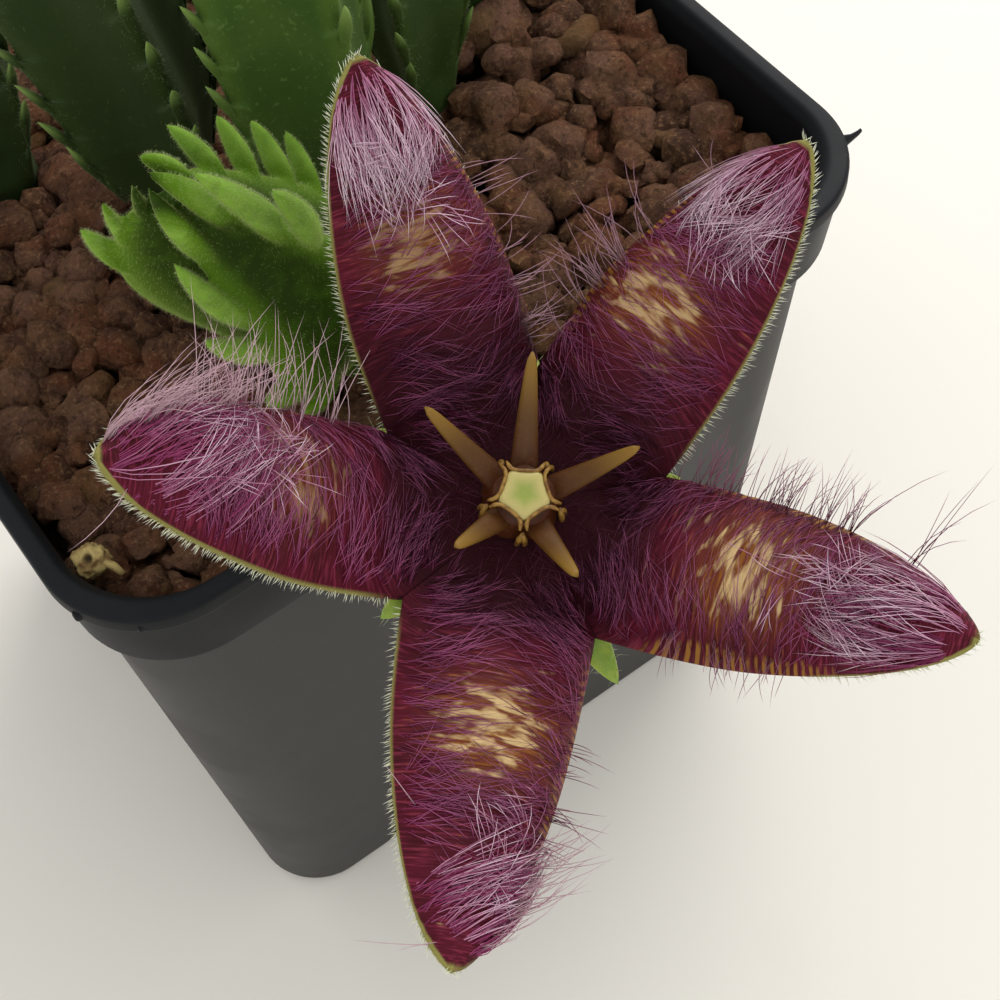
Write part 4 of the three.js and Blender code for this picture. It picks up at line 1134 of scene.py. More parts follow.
def lobe_sheet(index, rows, disc_rows, columns):
    """One lobe with its sector of the disc, as a strip of closed shell: upper face, lower face and a rounded
    rim along both margins. Returns the points, the faces and the values of the points."""
    disc, blade = np.linspace(-1, 0, disc_rows, endpoint=False), np.linspace(0, 1, rows) ** 0.93
    t = np.concatenate([disc, blade])[:, None]
    across = np.sin(np.linspace(-1, 1, columns) * 1.35)[None] / math.sin(1.35)
    t, across = np.broadcast_arrays(t, across)
    point = petal_point(index, t, across)
    normal, out = shell_ways(index, t, across, disc_rows)
    fade = smooth((1 - np.abs(across)) / 0.12) * smooth((1 - t) / 0.1) * smooth((t + 0.75) / 0.3)
    upper = point + (WRINKLE_HEIGHT * wrinkles(index, t, across) * fade)[..., None] * normal
    lower = point - COROLLA_THICKNESS * normal
    ends = [0, -1]
    rim = (upper[:, ends] + lower[:, ends]) / 2 + 0.35 * out
    rows_all, last = len(t), columns - 1
    row = np.arange(disc_rows, rows_all - 1)[:, None]
    up, low = row * columns, rows_all * columns * (1 + 0 * row) + row * columns
    left = 2 * rows_all * columns + row
    right = left + rows_all
    strips = np.concatenate([
        np.concatenate([up, left, left + 1, up + columns], 1),
        np.concatenate([left, low, low + columns, left + 1], 1),
        np.concatenate([up + last + columns, right + 1, right, up + last], 1),
        np.concatenate([right + 1, low + last + columns, low + last, right], 1),
    ])
    quads = grid_quads(rows_all, columns)
    points = np.concatenate([upper.reshape(-1, 3), lower.reshape(-1, 3), rim[:, 0], rim[:, 1]])
    faces = [quads[:, ::-1], quads + rows_all * columns, strips]
    places = on_petal(index, t, across)
    values = {"lie": np.concatenate([places.reshape(-1, 3)] * 2 + [places[:, 0], places[:, -1]])}
    above, below = corolla_shares(index, t, across, True), corolla_shares(index, t, across, False)
    for key, value in above.items():
        values[key] = np.concatenate([value.ravel(), below[key].ravel(), value[:, 0], value[:, -1]])
    return points, faces, values


def merged(points, faces, values, digits=3):
    """Points that fall on the same place as one, for faces and values alike. Empty faces and points without a
    face are dropped."""
    _, first, where = np.unique(np.round(points, digits), axis=0, return_index=True, return_inverse=True)
    where = where.ravel()
    kept = []
    for face in faces:
        face = where[face]
        same = face == np.roll(face, -1, axis=1)
        kept.append(face[~same.any(1)])
        for corner in range(4 if face.shape[1] == 4 else 0):
            single = same[:, corner] & (same.sum(1) == 1)
            kept.append(np.delete(face[single], corner, axis=1))
    used = np.zeros(len(first), bool)
    for face in kept:
        used[face] = True
    first, number = first[used], np.cumsum(used) - 1
    values = {key: value[first] for key, value in values.items()}
    return points[first], [number[face] for face in kept if len(face)], values


# What a wave texture's scale is times its bands' distance
WAVE_SCALE = 0.314
# The petal's noises, read in millimetres along and across a lobe: scale on each axis, detail and distortion
PETAL_NOISES = {
    "cells": ((0.25, 0.95, 1), 3, 0.4),
    "streaks": ((0.28, 3.2, 1), 3, 0),
    "clouds": ((0.12, 0.16, 1), 3, 0),
}


def petal_material(petal, patch):
    """A carrion flower's petal: fleshy, wrinkled and slightly moist. It gives a deep crimson with finer
    streaks across, which darkens to the middle, partly its own dark and partly painted shade; a
    straw-coloured patch in cells about 3 mm wide and 0.6 mm long; gold bars 0.9 mm apart on the flanks; and
    a yellow-green rim and back."""
    material, tree, shader = new_material("fleshy_petal", {
        "Roughness": 0.55, "IOR": 1.42, "Specular IOR Level": 0.14})

    def maths(operation, *values):
        return add_node(tree, "ShaderNodeMath", {"operation": operation}, dict(enumerate(values))).outputs[0]

    def gated(value, gate, reach, low, high):
        """value cut off where it is low. The cut lies at low…high where gate is 1, and reach higher at 0."""
        return ramp(tree, maths("MULTIPLY_ADD", gate, reach, value), low + reach, high + reach)

    lie = add_node(tree, "ShaderNodeAttribute", {"attribute_name": "lie"}).outputs["Vector"]
    share = {key: pattern(tree, key) for key in SHARE_KEYS}
    noises = {}
    for key, (scale, detail, distortion) in PETAL_NOISES.items():
        place = add_node(tree, "ShaderNodeVectorMath", {"operation": "MULTIPLY"}, {0: lie, 1: scale})
        links = {"Vector": place.outputs[0], "Scale": 1, "Detail": detail, "Distortion": distortion}
        noises[key] = add_node(tree, "ShaderNodeTexNoise", None, links).outputs["Fac"]
    cells, streaks, clouds = noises.values()
    wave = add_node(tree, "ShaderNodeTexWave", {"bands_direction": "Y"}, {
        "Vector": lie, "Scale": WAVE_SCALE / 0.9, "Distortion": 2.4, "Detail": 2, "Detail Scale": 0.5})
    stripes = ramp(tree, wave.outputs["Fac"], 0.42, 0.8)
    bars = maths("MULTIPLY", stripes, gated(clouds, share["flank"], 0.4, 0.35, 0.5))
    pale = maths("MULTIPLY", gated(cells, share["patch"], 0.3, 0.38, 0.58), share["glow"])
    dress(tree, shader, petal, [
        (clouds, 0.35, 0.65, 0, 0.75, "#390912"),
        (streaks, 0.46, 0.7, 0, 0.6, "#852b44"),
        (share["halo"], 0.1, 0.95, 0, 0.85, "#6f3820"),
        (gated(streaks, share["halo"], 0.26, 0.4, 0.6), "#85521f"),
        (bars, "#8f6128"),
        (pale, patch),
        # Painted shade with the disc's own dark: the middle of the flower darkens
        (share["dark"], "#2e0811"),
        (share["back"], "#70883f"),
        (share["rim"], "#868044"),
    ], streaks, 0.25)
    return material


# Hairs of the flower

def lying_hairs(index, t, across, heading, length, lift, curl, steps=4):
    """Middle lines of hairs that lie over a lobe. Each starts at its (t, across) and runs over the face in
    its heading, counted from the way to the tip towards +across. curl turns it on its way, and it rises to
    lift above the face as s(1.6 − 0.6s) does."""
    lobe = LOBES[index]
    places = [(t, across)]
    for step in range(steps):
        turn = heading + curl * (step + 0.5) / steps
        width = np.maximum(lobe_width(lobe, t, across), 1.2)
        t = t + length / steps * np.cos(turn) / lobe_length(lobe)
        across = np.clip(across + length / steps * np.sin(turn) / width, -0.98, 0.98)
        t = np.clip(t, -0.8, 0.995)
        places.append((t, across))
    t, across = (np.stack([place[k] for place in places], 1) for k in range(2))
    s = np.linspace(0, 1, steps + 1)
    height = (lift[:, None] + HAIR_SUNK) * s * (1.6 - 0.6 * s) - HAIR_SUNK
    normal = petal_normal(index, t, np.clip(across, -0.99, 0.99))
    return petal_point(index, t, across) + height[..., None] * normal


def tufted(rng, count, size, *draws):
    """Shares values of tufts out to count hairs. A draw is a function of how many values it gives, followed
    by how much the hairs of one tuft differ."""
    tuft = rng.integers(0, count // size, count)
    return [draw(count // size)[tuft] + rng.normal(0, spread, count) for draw, spread in draws]


def tip_hairs(index, rng):
    """The pale hairs of a lobe's outer part. They run back in tufts from the tip and the margins to where
    they meet, and a fifth as many short ones lie criss-cross there. Returns the lines with each hair's
    tone."""
    lobe = LOBES[index]
    count = lobe["hairs"]
    mat_t, mat_across = lobe["mat"]
    t, across, goal_t, goal_across, tone = tufted(
        rng, count, 6,
        (lambda n: mix(mat_t + 0.1, 0.985, rng.uniform(0, 1, n) ** 0.8), 0.012),
        (lambda n: np.sign(rng.uniform(-1, 1, n)) * rng.uniform(0.02, 0.95, n) ** 0.85, 0.04),
        (lambda n: mat_t - 0.03 + rng.normal(0, 0.05, n), 0.02),
        (lambda n: mat_across + rng.normal(0, 0.13, n), 0.04),
        (lambda n: rng.uniform(-0.6, 1.3, n), 0.25))
    t, across = np.clip(t, 0, 0.985), np.clip(across, -0.97, 0.97)
    forward = (goal_t - t) * lobe_length(lobe)
    sideways = goal_across * lobe_width(lobe, goal_t, goal_across) - across * lobe_width(lobe, t, across)
    heading = np.arctan2(sideways, forward) + rng.normal(0, 0.07, count)
    length = np.clip(np.hypot(forward, sideways) * rng.uniform(0.6, 1.05, count), 4.5, 15)
    lift = rng.uniform(0.2, 1.7, count) * np.clip(length / 8, 0.4, 1)
    combed = lying_hairs(index, t, across, heading, length, lift, rng.normal(0, 0.15, count))
    few = count // 5
    t, across, heading = tufted(
        rng, few, 4, (lambda n: mat_t + rng.normal(0.02, 0.065, n), 0.015),
        (lambda n: 0.4 * mat_across + rng.normal(0, 0.2, n), 0.05),
        (lambda n: np.pi * rng.integers(0, 2, n) + rng.normal(0, 0.6, n), 0.2))
    length, lift = rng.uniform(3, 7, few), rng.uniform(0.8, 2.2, few)
    tangle = lying_hairs(index, t, across.clip(-0.9, 0.9), heading, length, lift, rng.normal(0, 0.35, few))
    tone = np.clip(tone + (lobe["blush"] - 0.5) * 1.6, 0, 1)
    return np.concatenate([combed, tangle]), np.concatenate([tone, rng.uniform(0, 1.1, few) * lobe["blush"]])


def base_hairs(index, rng, count):
    """The purple hairs of a lobe's inner part. They start in tufts on the flanks and run across the face, and
    near the disc they turn to the flower's middle. They are thin over the patch and stop short of the mat."""
    lobe = LOBES[index]
    t, across, tilt, tone = tufted(
        rng, count, 3, (lambda n: -0.3 + 0.92 * rng.uniform(0, 1, n) ** 1.15, 0.01),
        (lambda n: np.sign(rng.uniform(-1, 1, n)) * rng.uniform(0.12, 1, n) ** 0.6, 0.03),
        (lambda n: rng.normal(0, 0.28, n), 0.12), (lambda n: rng.uniform(-0.35, 0.6, n), 0.15))
    patch_t, patch_across = lobe["patch"]
    bare = np.exp(-((t - patch_t) / 0.15) ** 2) * np.exp(-((across - patch_across) / 0.6) ** 4)
    kept = rng.uniform(0, 1, count) > bare * (0.45 + 0.5 * lobe["glow"])
    t, across, tilt, tone = t[kept], across[kept].clip(-1, 1), tilt[kept], tone[kept]
    count, flank = len(t), np.sign(across)
    heading = -flank * (math.pi / 2 + tilt + mix(1.0, -0.1, smooth((t + 0.25) / 0.6)))
    length = rng.uniform(4, 11, count)
    lift = rng.uniform(0.08, 0.9, count)
    lines = lying_hairs(index, t, across, heading, length, lift, -flank * rng.normal(0.1, 0.35, count), 3)
    # Near the middle the hairs take the dark colour as far as the dark middle reaches, partly their own dark
    # and partly painted shade
    return lines, np.clip(smooth((lobe["dark_and_shade_reach"] - t) / 0.4) * 0.75 + tone, 0, 1)


# Hairs that stand off a margin: lobe, flank, the stretch of the lobe, count, length, lean to the tip, tone
FRINGES = (
    (0, 1, 0.18, 0.62, 36, 5.5, 0.15, 0.0),
    (0, 1, 0.6, 0.93, 60, 8.5, -0.75, 0.6),
    (1, 1, 0.0, 0.52, 100, 7.0, 0.15, 0.1),
    (1, 1, 0.5, 0.95, 11, 11.5, 0.4, 0.0),
    (1, -1, 0.02, 0.5, 46, 4.8, 0.1, 0.2),
    (2, 1, 0.05, 0.5, 54, 8.5, 0.35, 0.45),
    (3, -1, 0.0, 0.6, 42, 7.0, 0.0, 0.5),
    (4, -1, 0.05, 0.6, 80, 11.0, -0.15, 1.0),
    (4, -1, 0.4, 0.5, 30, 6.0, 0.0, 0.35),
    (4, -1, 0.5, 0.97, 110, 9.5, -1.3, 0.8),
    (4, 1, 0.86, 0.93, 1, 11.0, 1.6, 0.9),
    (0, -1, 0.55, 0.58, 1, 10.0, -0.8, 0.9),
    (0, -1, 0.9, 0.96, 2, 8.0, 0.4, 0.8),
    (2, 1, 0.66, 0.76, 2, 9.0, 0.2, 0.5),
)


def margin_hairs(fringe, rng):
    """The hairs of one fringe. They grow from the margin in small tufts, lean outwards and up, and bend a
    little."""
    index, flank, low, high, count, length, lean, _ = fringe
    lobe = LOBES[index]
    tufts = rng.uniform(low, high, max(count // 3, 1))
    t = np.clip(tufts[rng.integers(0, len(tufts), count)] + rng.normal(0, 0.012, count), low, high)
    across = flank * rng.uniform(0.62, 0.97, count)
    root, normal = petal_point(index, t, across), petal_normal(index, t, across)
    outward, side = out_and_side(math.radians(lobe["azimuth"]))
    heading = unit(flank * side + [0, 0, 0.3] + lean * outward + rng.normal(0, 0.24, (count, 3)))
    reach = (length * rng.uniform(0.4, 1.15, count))[:, None, None]
    s = np.linspace(0, 1, 5)[None, :, None]
    bend = rng.normal(0, 0.12, (count, 1, 3)) - [0, 0, 0.05]
    heading = mix(unit(normal + heading)[:, None], heading[:, None], s)
    return (root - HAIR_SUNK * normal)[:, None] + s * reach * (heading + bend * s)


def disc_hairs(rng, count):
    """The short dark hairs of the disc, between the horns."""
    azimuth, radius = rng.uniform(0, 2 * np.pi, count), rng.uniform(6, 17, count)
    root = polar(radius, azimuth, DISC_RISE * (radius / DISC_RADIUS) ** 2)
    heading = unit(polar(-1, azimuth, 0.6) + rng.normal(0, 0.5, (count, 3)))
    s = np.linspace(0, 1, 4)[None, :, None]
    reach = rng.uniform(2.5, 5.5, count)[:, None, None]
    return root[:, None] + s * reach * (heading[:, None] + rng.normal(0, 0.2, (count, 1, 3)) * s)


def cilia(index, rng, spacing=0.2):
    """The short white hairs along a lobe's pale rim and round its tip."""
    lobe = LOBES[index]
    lines = []
    for flank, start in zip((-1, 1), lobe["rim"]):
        count = int((1 - start) * lobe_length(lobe) * 1.25 / spacing)
        t = 1 - (1 - np.linspace(start, 0.998, count)) ** 1.25 * (1 - start) ** -0.25
        t = t + rng.uniform(-0.004, 0.004, count)
        across = flank * rng.uniform(0.98, 1.0, count)
        edge = petal_point(index, t, across)
        outward = unit(edge - petal_point(index, t - 0.03, across * 0.8))
        normal = petal_normal(index, t, flank * 0.97 * np.ones(count))
        root = edge - normal * rng.uniform(0.1, 1.1, count)[:, None]
        heading = unit(outward + rng.normal(0, 0.18, (count, 3)) + 0.1 * normal)
        way = heading * rng.uniform(0.9, 1.6, count)[:, None]
        lines.append(np.stack([root, root + way * 0.5, root + way + normal * 0.06], 1))
    return np.concatenate(lines)


def hair_piece(name, groups, radius, material):
    """One piece of many hairs from groups of (lines, tones) in the flower's own axes."""
    skins, shares, tones = [], [], []
    for lines, tone in groups:
        lines = from_flower(lines)
        skins.append(hair_tubes(lines, radius, HAIR_TAPER))
        along = np.broadcast_to(np.linspace(0, 1, lines.shape[1]), lines.shape[:2])
        shares.append(hair_values(lines, along))
        tones.append(hair_values(lines, np.broadcast_to(tone, len(lines))))
    values = {"share": np.concatenate(shares), "tone": np.concatenate(tones)}
    new_piece(name, *joined(skins), material, "corolla_maroon", values=values)


# Corona, calyx and stalk

def horn_skin(azimuth, reach, rows=22, columns=16):
    """A horn: a flattened taper that rises from the column and bends outwards, with a blunt, notched tip."""
    outward, side = out_and_side(math.radians(azimuth))
    a = outward * (HORN_ROOT - 1) + UP * (HORN_ROOT_HEIGHT - 0.6)
    b = outward * reach * 0.5 + UP * (HORN_ROOT_HEIGHT + 2.6)
    c = outward * reach + UP * HORN_RISE
    s = np.linspace(0, 1, rows)
    path = bezier(a, b, c, s)
    across = np.cross(bezier_heading(a, b, c, s), side)
    size = mix(1, 0.3, s ** 1.5) * np.sqrt(np.maximum(1 - s ** 26, 0.05))
    phi = full_turn(columns)
    ring = HORN_WIDTH * np.cos(phi)[:, None] * side + HORN_DEPTH * np.sin(phi)[:, None] * across[:, None]
    groove = 1 - 0.16 * np.exp(-((np.sin(phi) - 1) / 0.3) ** 2)
    points, faces = loft(path[:, None] + size[:, None, None] * ring * groove[:, None])
    points[-1] -= 0.5 * unit(c - b)
    return (points, faces), np.append(np.repeat(s, columns), [0, 1])


def corona_skin(columns=30):
    """The column with its horns, and each point's share of the way along its horn."""
    profile = np.array([(4.3, GAP + 0.3), (4.6, GAP + 1.0), (4.4, 2.2), (3.6, 3.8), (3.3, COLUMN_HEIGHT)])
    phi = full_turn(columns)
    skins = [loft(turned_rings(profile, phi, 1 + 0.06 * np.cos(5 * (phi - UPPER_HORN))))]
    shares = [np.zeros(len(skins[0][0]))]
    for azimuth, reach in HORNS:
        skin, share = horn_skin(azimuth, reach)
        skins.append(skin)
        shares.append(share)
    points, faces = joined(skins)
    return points, faces, np.concatenate(shares)


def head_skin(columns=50):
    """The style head: a pillow with five blunt corners between the horns, hollowed a little in the middle.
    Also gives each point's share of the way from the middle to the edge."""
    phi = full_turn(columns)
    turned = phi - UPPER_HORN - math.pi / 5
    edge = HEAD_RADIUS * (0.92 + 0.09 * np.cos(5 * turned) + 0.02 * np.cos(10 * turned))
    profile = np.array([(0.7, 0), (0.97, 0.12), (1, 0.5), (0.95, 0.85), (0.82, 1), (0.5, 0.93), (0.2, 0.86)])
    profile[:, 1] = COLUMN_HEIGHT + GAP + HEAD_HEIGHT * profile[:, 1]
    points, faces = loft(turned_rings(profile, phi, edge))
    return points, faces, np.append(np.repeat(profile[:, 0], columns), [0.7, 0])


def carrier_skins():
    """The pollen carriers: along each side of the head a thin bar whose two ends flare past the corners, and
    below each corner a pair of short upright slips."""
    skins = []
    s = np.linspace(-1, 1, 17)
    for k in range(5):
        out, side = out_and_side(UPPER_HORN + k * 2 * math.pi / 5)
        path = out * (2.6 + 1.05 * np.abs(s) ** 5)[:, None] + side * (2.15 * s)[:, None]
        path = path + UP * (COLUMN_HEIGHT + 1.25 - 0.35 * s ** 2)[:, None]
        skins.append(tube(path, 0.21 + 0.08 * s ** 2 - 0.17 * s ** 40, 8, out))
        for flank in (-1, 1):
            foot = out * (CARRIER_REACH - 0.5) + flank * side * 2.55
            slip = foot + UP * np.array([[1.6], [3.0], [4.4]]) + out * np.array([[0.5], [0.25], [-0.35]])
            skins.append(tube(slip, np.array([0.3, 0.38, 0.22]), 8, side))
    return joined(skins)


def calyx_skins():
    """The cup under the flower and its five sepals, which follow the corolla's underside out to the sinuses.
    A sepal is a lance: its half width is (1 − r⁴)⁰·⁷⁵ of the full one at share r."""
    profile = np.array([(STALK_RADIUS * 0.9, -4.8), (STALK_RADIUS * 1.05, -4.2), (3.0, -2.4),
                        (RECEPTACLE_RADIUS, -1.2), (RECEPTACLE_RADIUS, -0.3), (3.4, 0)]) + [0, CALYX_SEAT]
    skins = [loft(turned_rings(profile, full_turn(32)))]
    phi = full_turn(18)
    for sinus, far in zip(SINUSES, SEPAL_REACHES):
        reach = math.hypot(sinus[0], sinus[1])
        outward, side = out_and_side(math.atan2(sinus[1], sinus[0]))
        r = np.linspace(1.5, far, 26)
        underside = sinus[2] * np.minimum(r / reach, 1.06) ** 2 + CALYX_SEAT
        half = SEPAL_WIDTH * np.maximum(1 - (r / far) ** 4, 0.003) ** 0.75
        centre = outward * r[:, None] + UP * (underside - 0.55 * SEPAL_THICKNESS)[:, None]
        wide = (half[:, None] * np.cos(phi))[..., None] * side
        thick = 0.45 * SEPAL_THICKNESS * np.minimum(1, half / 1.2)[:, None] * np.sin(phi)
        cupped = 0.1 * half[:, None] * np.cos(phi) ** 2
        skins.append(loft(centre[:, None] + wide + (thick - cupped)[..., None] * UP))
    points, faces = joined(skins)
    return from_flower(points), faces


def stalk_skin():
    """The stalk: a round tube along its route, which is smoothed, that swells a little below the cup."""
    route = np.concatenate([np.array(STALK_ROUTE, float), from_flower(UP[None] * (CALYX_SEAT - 2.5))])
    length = np.concatenate([[0], np.cumsum(np.linalg.norm(np.diff(route, axis=0), axis=1))])
    s = np.linspace(0, length[-1], 70)
    path = np.stack([np.interp(s, length, route[:, k]) for k in range(3)], -1)
    for _ in range(14):
        path[1:-1] = (path[:-2] + 2 * path[1:-1] + path[2:]) / 4
    radii = STALK_RADIUS * (0.94 + 0.1 * smooth((s / length[-1] - 0.7) / 0.3))
    return tube(path, radii, 20)


def calyx_material(colour):
    """Stalk and sepals: thin green skin with fine hairs. It gives a bright yellow-green, mottled, with purple
    dots along the stalk."""
    return dressed_material("downy_calyx_skin", {
        "Roughness": 0.5, "IOR": 1.42, "Specular IOR Level": 0.35, "Sheen Weight": 0.2,
        "Sheen Roughness": 0.4}, colour, [
        ((3, 3, 0.5), 0.4, 0.7, 0, 0.7, "#6d9238"),
        ((1.3, 2, 0.5), 0.66, 0.76, 0, 0.4, "#6b4a3a"),
    ], (0.5, 3, 0.6), 0.05)


def corona_material(colour):
    """A horn of the corona: firm, waxy tissue. It gives a matt ochre that turns orange-brown at its root."""
    return dressed_material("waxy_corona", {
        "Roughness": 0.5, "IOR": 1.42, "Specular IOR Level": 0.35, "Subsurface Weight": 0.05,
        "Subsurface Scale": 0.001}, "#431d08", [
        ("share", 0.08, 0.75, 0, 1, colour),
        ("share", 0.55, 1, 0, 0.8, "#8c6a24"),
        ((0.7, 3, 0.6), 0.45, 0.8, 0, 0.3, "#6b4a20"),
    ], (0.35, 3, 0.6), 0.04)


def head_material(colour):
    """The style head: moist, waxy tissue. It gives a cream cap with a soft green middle."""
    return dressed_material("waxy_style_head", {
        "Roughness": 0.32, "IOR": 1.4, "Specular IOR Level": 0.45}, "#8a9544", [
        ("edge", 0.15, 0.85, 0, 1, colour),
    ], (0.4, 3, 0.6), 0.05)


def carrier_material():
    """The pollen carriers: waxy tissue. It gives a dull straw yellow, browner in patches."""
    return dressed_material("waxy_pollen_carrier", {"Roughness": 0.4, "IOR": 1.42}, "#94702e", [
        ((0.8, 3, 0.6), 0.4, 0.65, 0, 1, "#6b4618"),
    ])


# Stage

def board_material(colour):
    """A white-painted board. It gives a warm off-white floor with very faint marks."""
    return dressed_material("white_painted_board", {"Roughness": 0.6, "Specular IOR Level": 0.25}, colour, [
        ((60, 5, 0.6), 0.5, 0.8, 0, 0.15, "#d3cabb"),
    ])


def stand(item, right, up, back, place):
    """Turns a light or the camera, which looks against its back direction, and sets it at a place in
    metres."""
    turn = np.eye(4)
    turn[:3] = np.stack([right, up, back, place], 1)
    item.matrix_world = Matrix(turn.tolist())


def area_light(name, place, aim, size, power, colour):
    """A square soft light at a place in metres that faces its aim."""
    light = bpy.data.lights.new(name, "AREA")
    light.size, light.energy, light.color = size, power, colour
    back = unit(np.array(place, float) - np.array(aim, float))
    right = unit(np.cross([0, 0.01, 1.0], back))
    stand(scene_object(name, light), right, np.cross(back, right), back, place)


# The settings that a user would change

def colour_property(name, description, code):
    """A colour setting whose default is an sRGB hex value."""
    return FloatVectorProperty(name=name, description=description, subtype="COLOR", size=3, min=0, max=1,
                               default=hex_linear(code))


def length_property(name, description, default_mm, low_mm, high_mm):
    """A length setting, given in millimetres and kept in metres."""
    return FloatProperty(name=name, description=description, default=default_mm * MM, min=low_mm * MM,
                         max=high_mm * MM, unit="LENGTH", subtype="DISTANCE")


def seed_property(description, default):
    """A setting for a random draw."""
    return IntProperty(name="Seed", description=description, default=default, min=0)


class PotSettings(PropertyGroup):
    height: length_property("Height", "Height of the pot to the top of its lip", POT_TOP, 120, 140)
    plastic: colour_property("Plastic", "Colour of the moulded plastic", "#17181b")


class GravelSettings(PropertyGroup):
    stone: length_property("Stone", "Middling radius of a stone", 3, 3, 7)
    seed: seed_property("Draw of the stones' places and shapes", 11)
    light: colour_property("Light stones", "Colour of the lightest stones", "#8a6350")
    dark: colour_property("Dark stones", "Colour of the darkest stones", "#583b2c")


class StemSettings(PropertyGroup):
    skin: colour_property("Skin", "Colour of the grown stems", "#3b561f")
    down: length_property("Down", "Length of the down on the stems", 0.6, 0.2, 2)
    seed: seed_property("Draw of the down", 5)


class ShootSettings(PropertyGroup):
    leaf: length_property("Leaf", "Radius of the leaf rudiments", 1.8, 1, 3)
    skin: colour_property("Skin", "Colour of the ribs and leaves", "#5c8018")
    down: length_property("Down", "Length of the down on the shoot", 0.45, 0.2, 2)
    seed: seed_property("Draw of the leaves and the down", 7)


class FlowerSettings(PropertyGroup):
    petal: colour_property("Petal", "Colour of the lobes", "#4e0c1e")
    patch: colour_property("Patch", "Colour of the pale patch on each lobe", "#c8aa78")
    hair: length_property("Hair", "Diameter of the long hairs at their root", 0.12, 0.05, 0.5)
    seed: seed_property("Draw of the hairs", 3)
    horn: colour_property("Horns", "Colour of the corona's horns", "#57380e")
    head: colour_property("Style head", "Colour of the style head's edge", "#b4a667")
    calyx: colour_property("Calyx", "Colour of the sepals and the stalk", "#9cab46")


class StageSettings(PropertyGroup):
    floor: colour_property("Floor", "Colour of the floor", "#eae5dc")
    light: FloatProperty(name="Light", description="Power of the soft light overhead", default=6.6, min=0,
                         unit="POWER")
    sky: FloatProperty(name="Sky", description="Strength of the even light from all round", default=1.0,
                       min=0)


# The operators, one for each piece or group of like pieces

class CARRION_OT_pot(Operator):
    """Build the square pot with its collar, lip, drain holes and moulding nubs"""
    bl_idname = "carrion.pot"
    bl_label = "Pot"

    def execute(self, context):
        settings = context.scene.carrion_pot
        height = settings.height / MM
        fin = tube(np.array(FIN_ROUTE) + height * UP, np.array(FIN_RADII), 12, (0, 0, 1), 0.6)
        nubs = [rounded_block(middle + height * UP, half_sizes) for middle, half_sizes in NUBS]
        points, faces = joined([pot_skin(height), fin, *nubs])
        pot = new_piece("square_pot", points, faces, polypropylene(settings.plastic), "pot_plastic",
                        replaces=["pot"])
        heights = UP * [[-2], [1], [FLOOR + 2]]
        plugs = [tube(out_and_side(azimuth)[0] * DRAIN_RING + heights, DRAIN_RADIUS, 28, (1, 0.1, 0))
                 for azimuth in full_turn(DRAIN_COUNT)]
        cutter = new_piece("drain_cutter", *joined(plugs), pot.data.materials[0], "pot_plastic")
        cut = pot.modifiers.new("drains", "BOOLEAN")
        cut.operation, cut.solver, cut.object, cut.use_self = "DIFFERENCE", "EXACT", cutter, True
        apply_modifiers(pot)
        bpy.data.objects.remove(cutter)
        pot.data.set_sharp_from_angle(angle=POT_SHARP)
        return {"FINISHED"}


class CARRION_OT_gravel(Operator):
    """Build the lava gravel and the pale grain that lies on it"""
    bl_idname = "carrion.gravel"
    bl_label = "Gravel"

    def execute(self, context):
        settings = context.scene.carrion_gravel
        points, faces, tint, depth = gravel_skins(settings.stone / MM, settings.seed)
        # depth carries the painted shade in the gaps between the stones
        new_piece("lava_gravel", points, faces, lava(settings.light, settings.dark), "lava_gravel",
                  replaces=["soil"], values={"tint": tint, "depth": depth}, sharp=GRAVEL_SHARP)
        rng = np.random.default_rng(settings.seed + 1)
        x, y, low, radius, steps = PALE_GRAIN.values()
        place = np.array([[x, y, low + radius * 0.85]])
        skin, quads = stones(place, np.array([radius]), steps, rng)
        toward = unit(np.array(PIT_FACING))
        # pit marks the dimple, which is pushed in and darkened as painted shade
        pit = np.exp(-((1 - unit(skin - place) @ toward) / 0.05) ** 2)
        twig = tube(place + TWIG_ROUTE, np.array(TWIG_RADII), 12)
        points, faces = joined([(skin - PIT_DEPTH * pit[:, None] * toward, [quads]), twig])
        values = {"pit": np.append(pit, np.zeros(len(twig[0])))}
        new_piece("pale_pumice_grain", points, faces, pale_stone(), "pale_gravel", replaces=["pale_grain"],
                  values=values)
        return {"FINISHED"}


class CARRION_OT_stems(Operator):
    """Build the five grown stems with their toothed ribs and their down"""
    bl_idname = "carrion.stems"
    bl_label = "Stems"

    def execute(self, context):
        settings = context.scene.carrion_stems
        material = stem_material(settings.skin)
        down = hair_material("stem_down", "#5f7542", "#b9c69c")
        rng = np.random.default_rng(settings.seed)
        for stem in STEMS:
            points, faces, crest, tooth = stem_skin(stem)
            leaves, tips = stem_leaves(stem, rng)
            points, faces = joined([(points, faces), *leaves])
            crest, tooth = np.append(crest, 1 + 0 * tips), np.append(0.3 * tooth, tips)
            # Each stem carries its share of painted shade, darker for the stems that stand in shade
            values = {"crest": crest, "tooth": tooth, "age": np.full(len(points), STEM_DARKEST * stem["age"])}
            piece = new_piece(f"ribbed_{stem['name']}", points, faces, material, "stem_green",
                              replaces=[stem["name"]], values=values)
            weight = 0.1 + 4 * crest ** 4 + 3 * tooth
            weight[points[:, 2] < DOWN_FOOT] = 0
            down_piece(f"down_{stem['name']}", piece, down, "stem_green", length=settings.down / MM, rng=rng,
                       weight=weight, **STEM_DOWN)
        return {"FINISHED"}


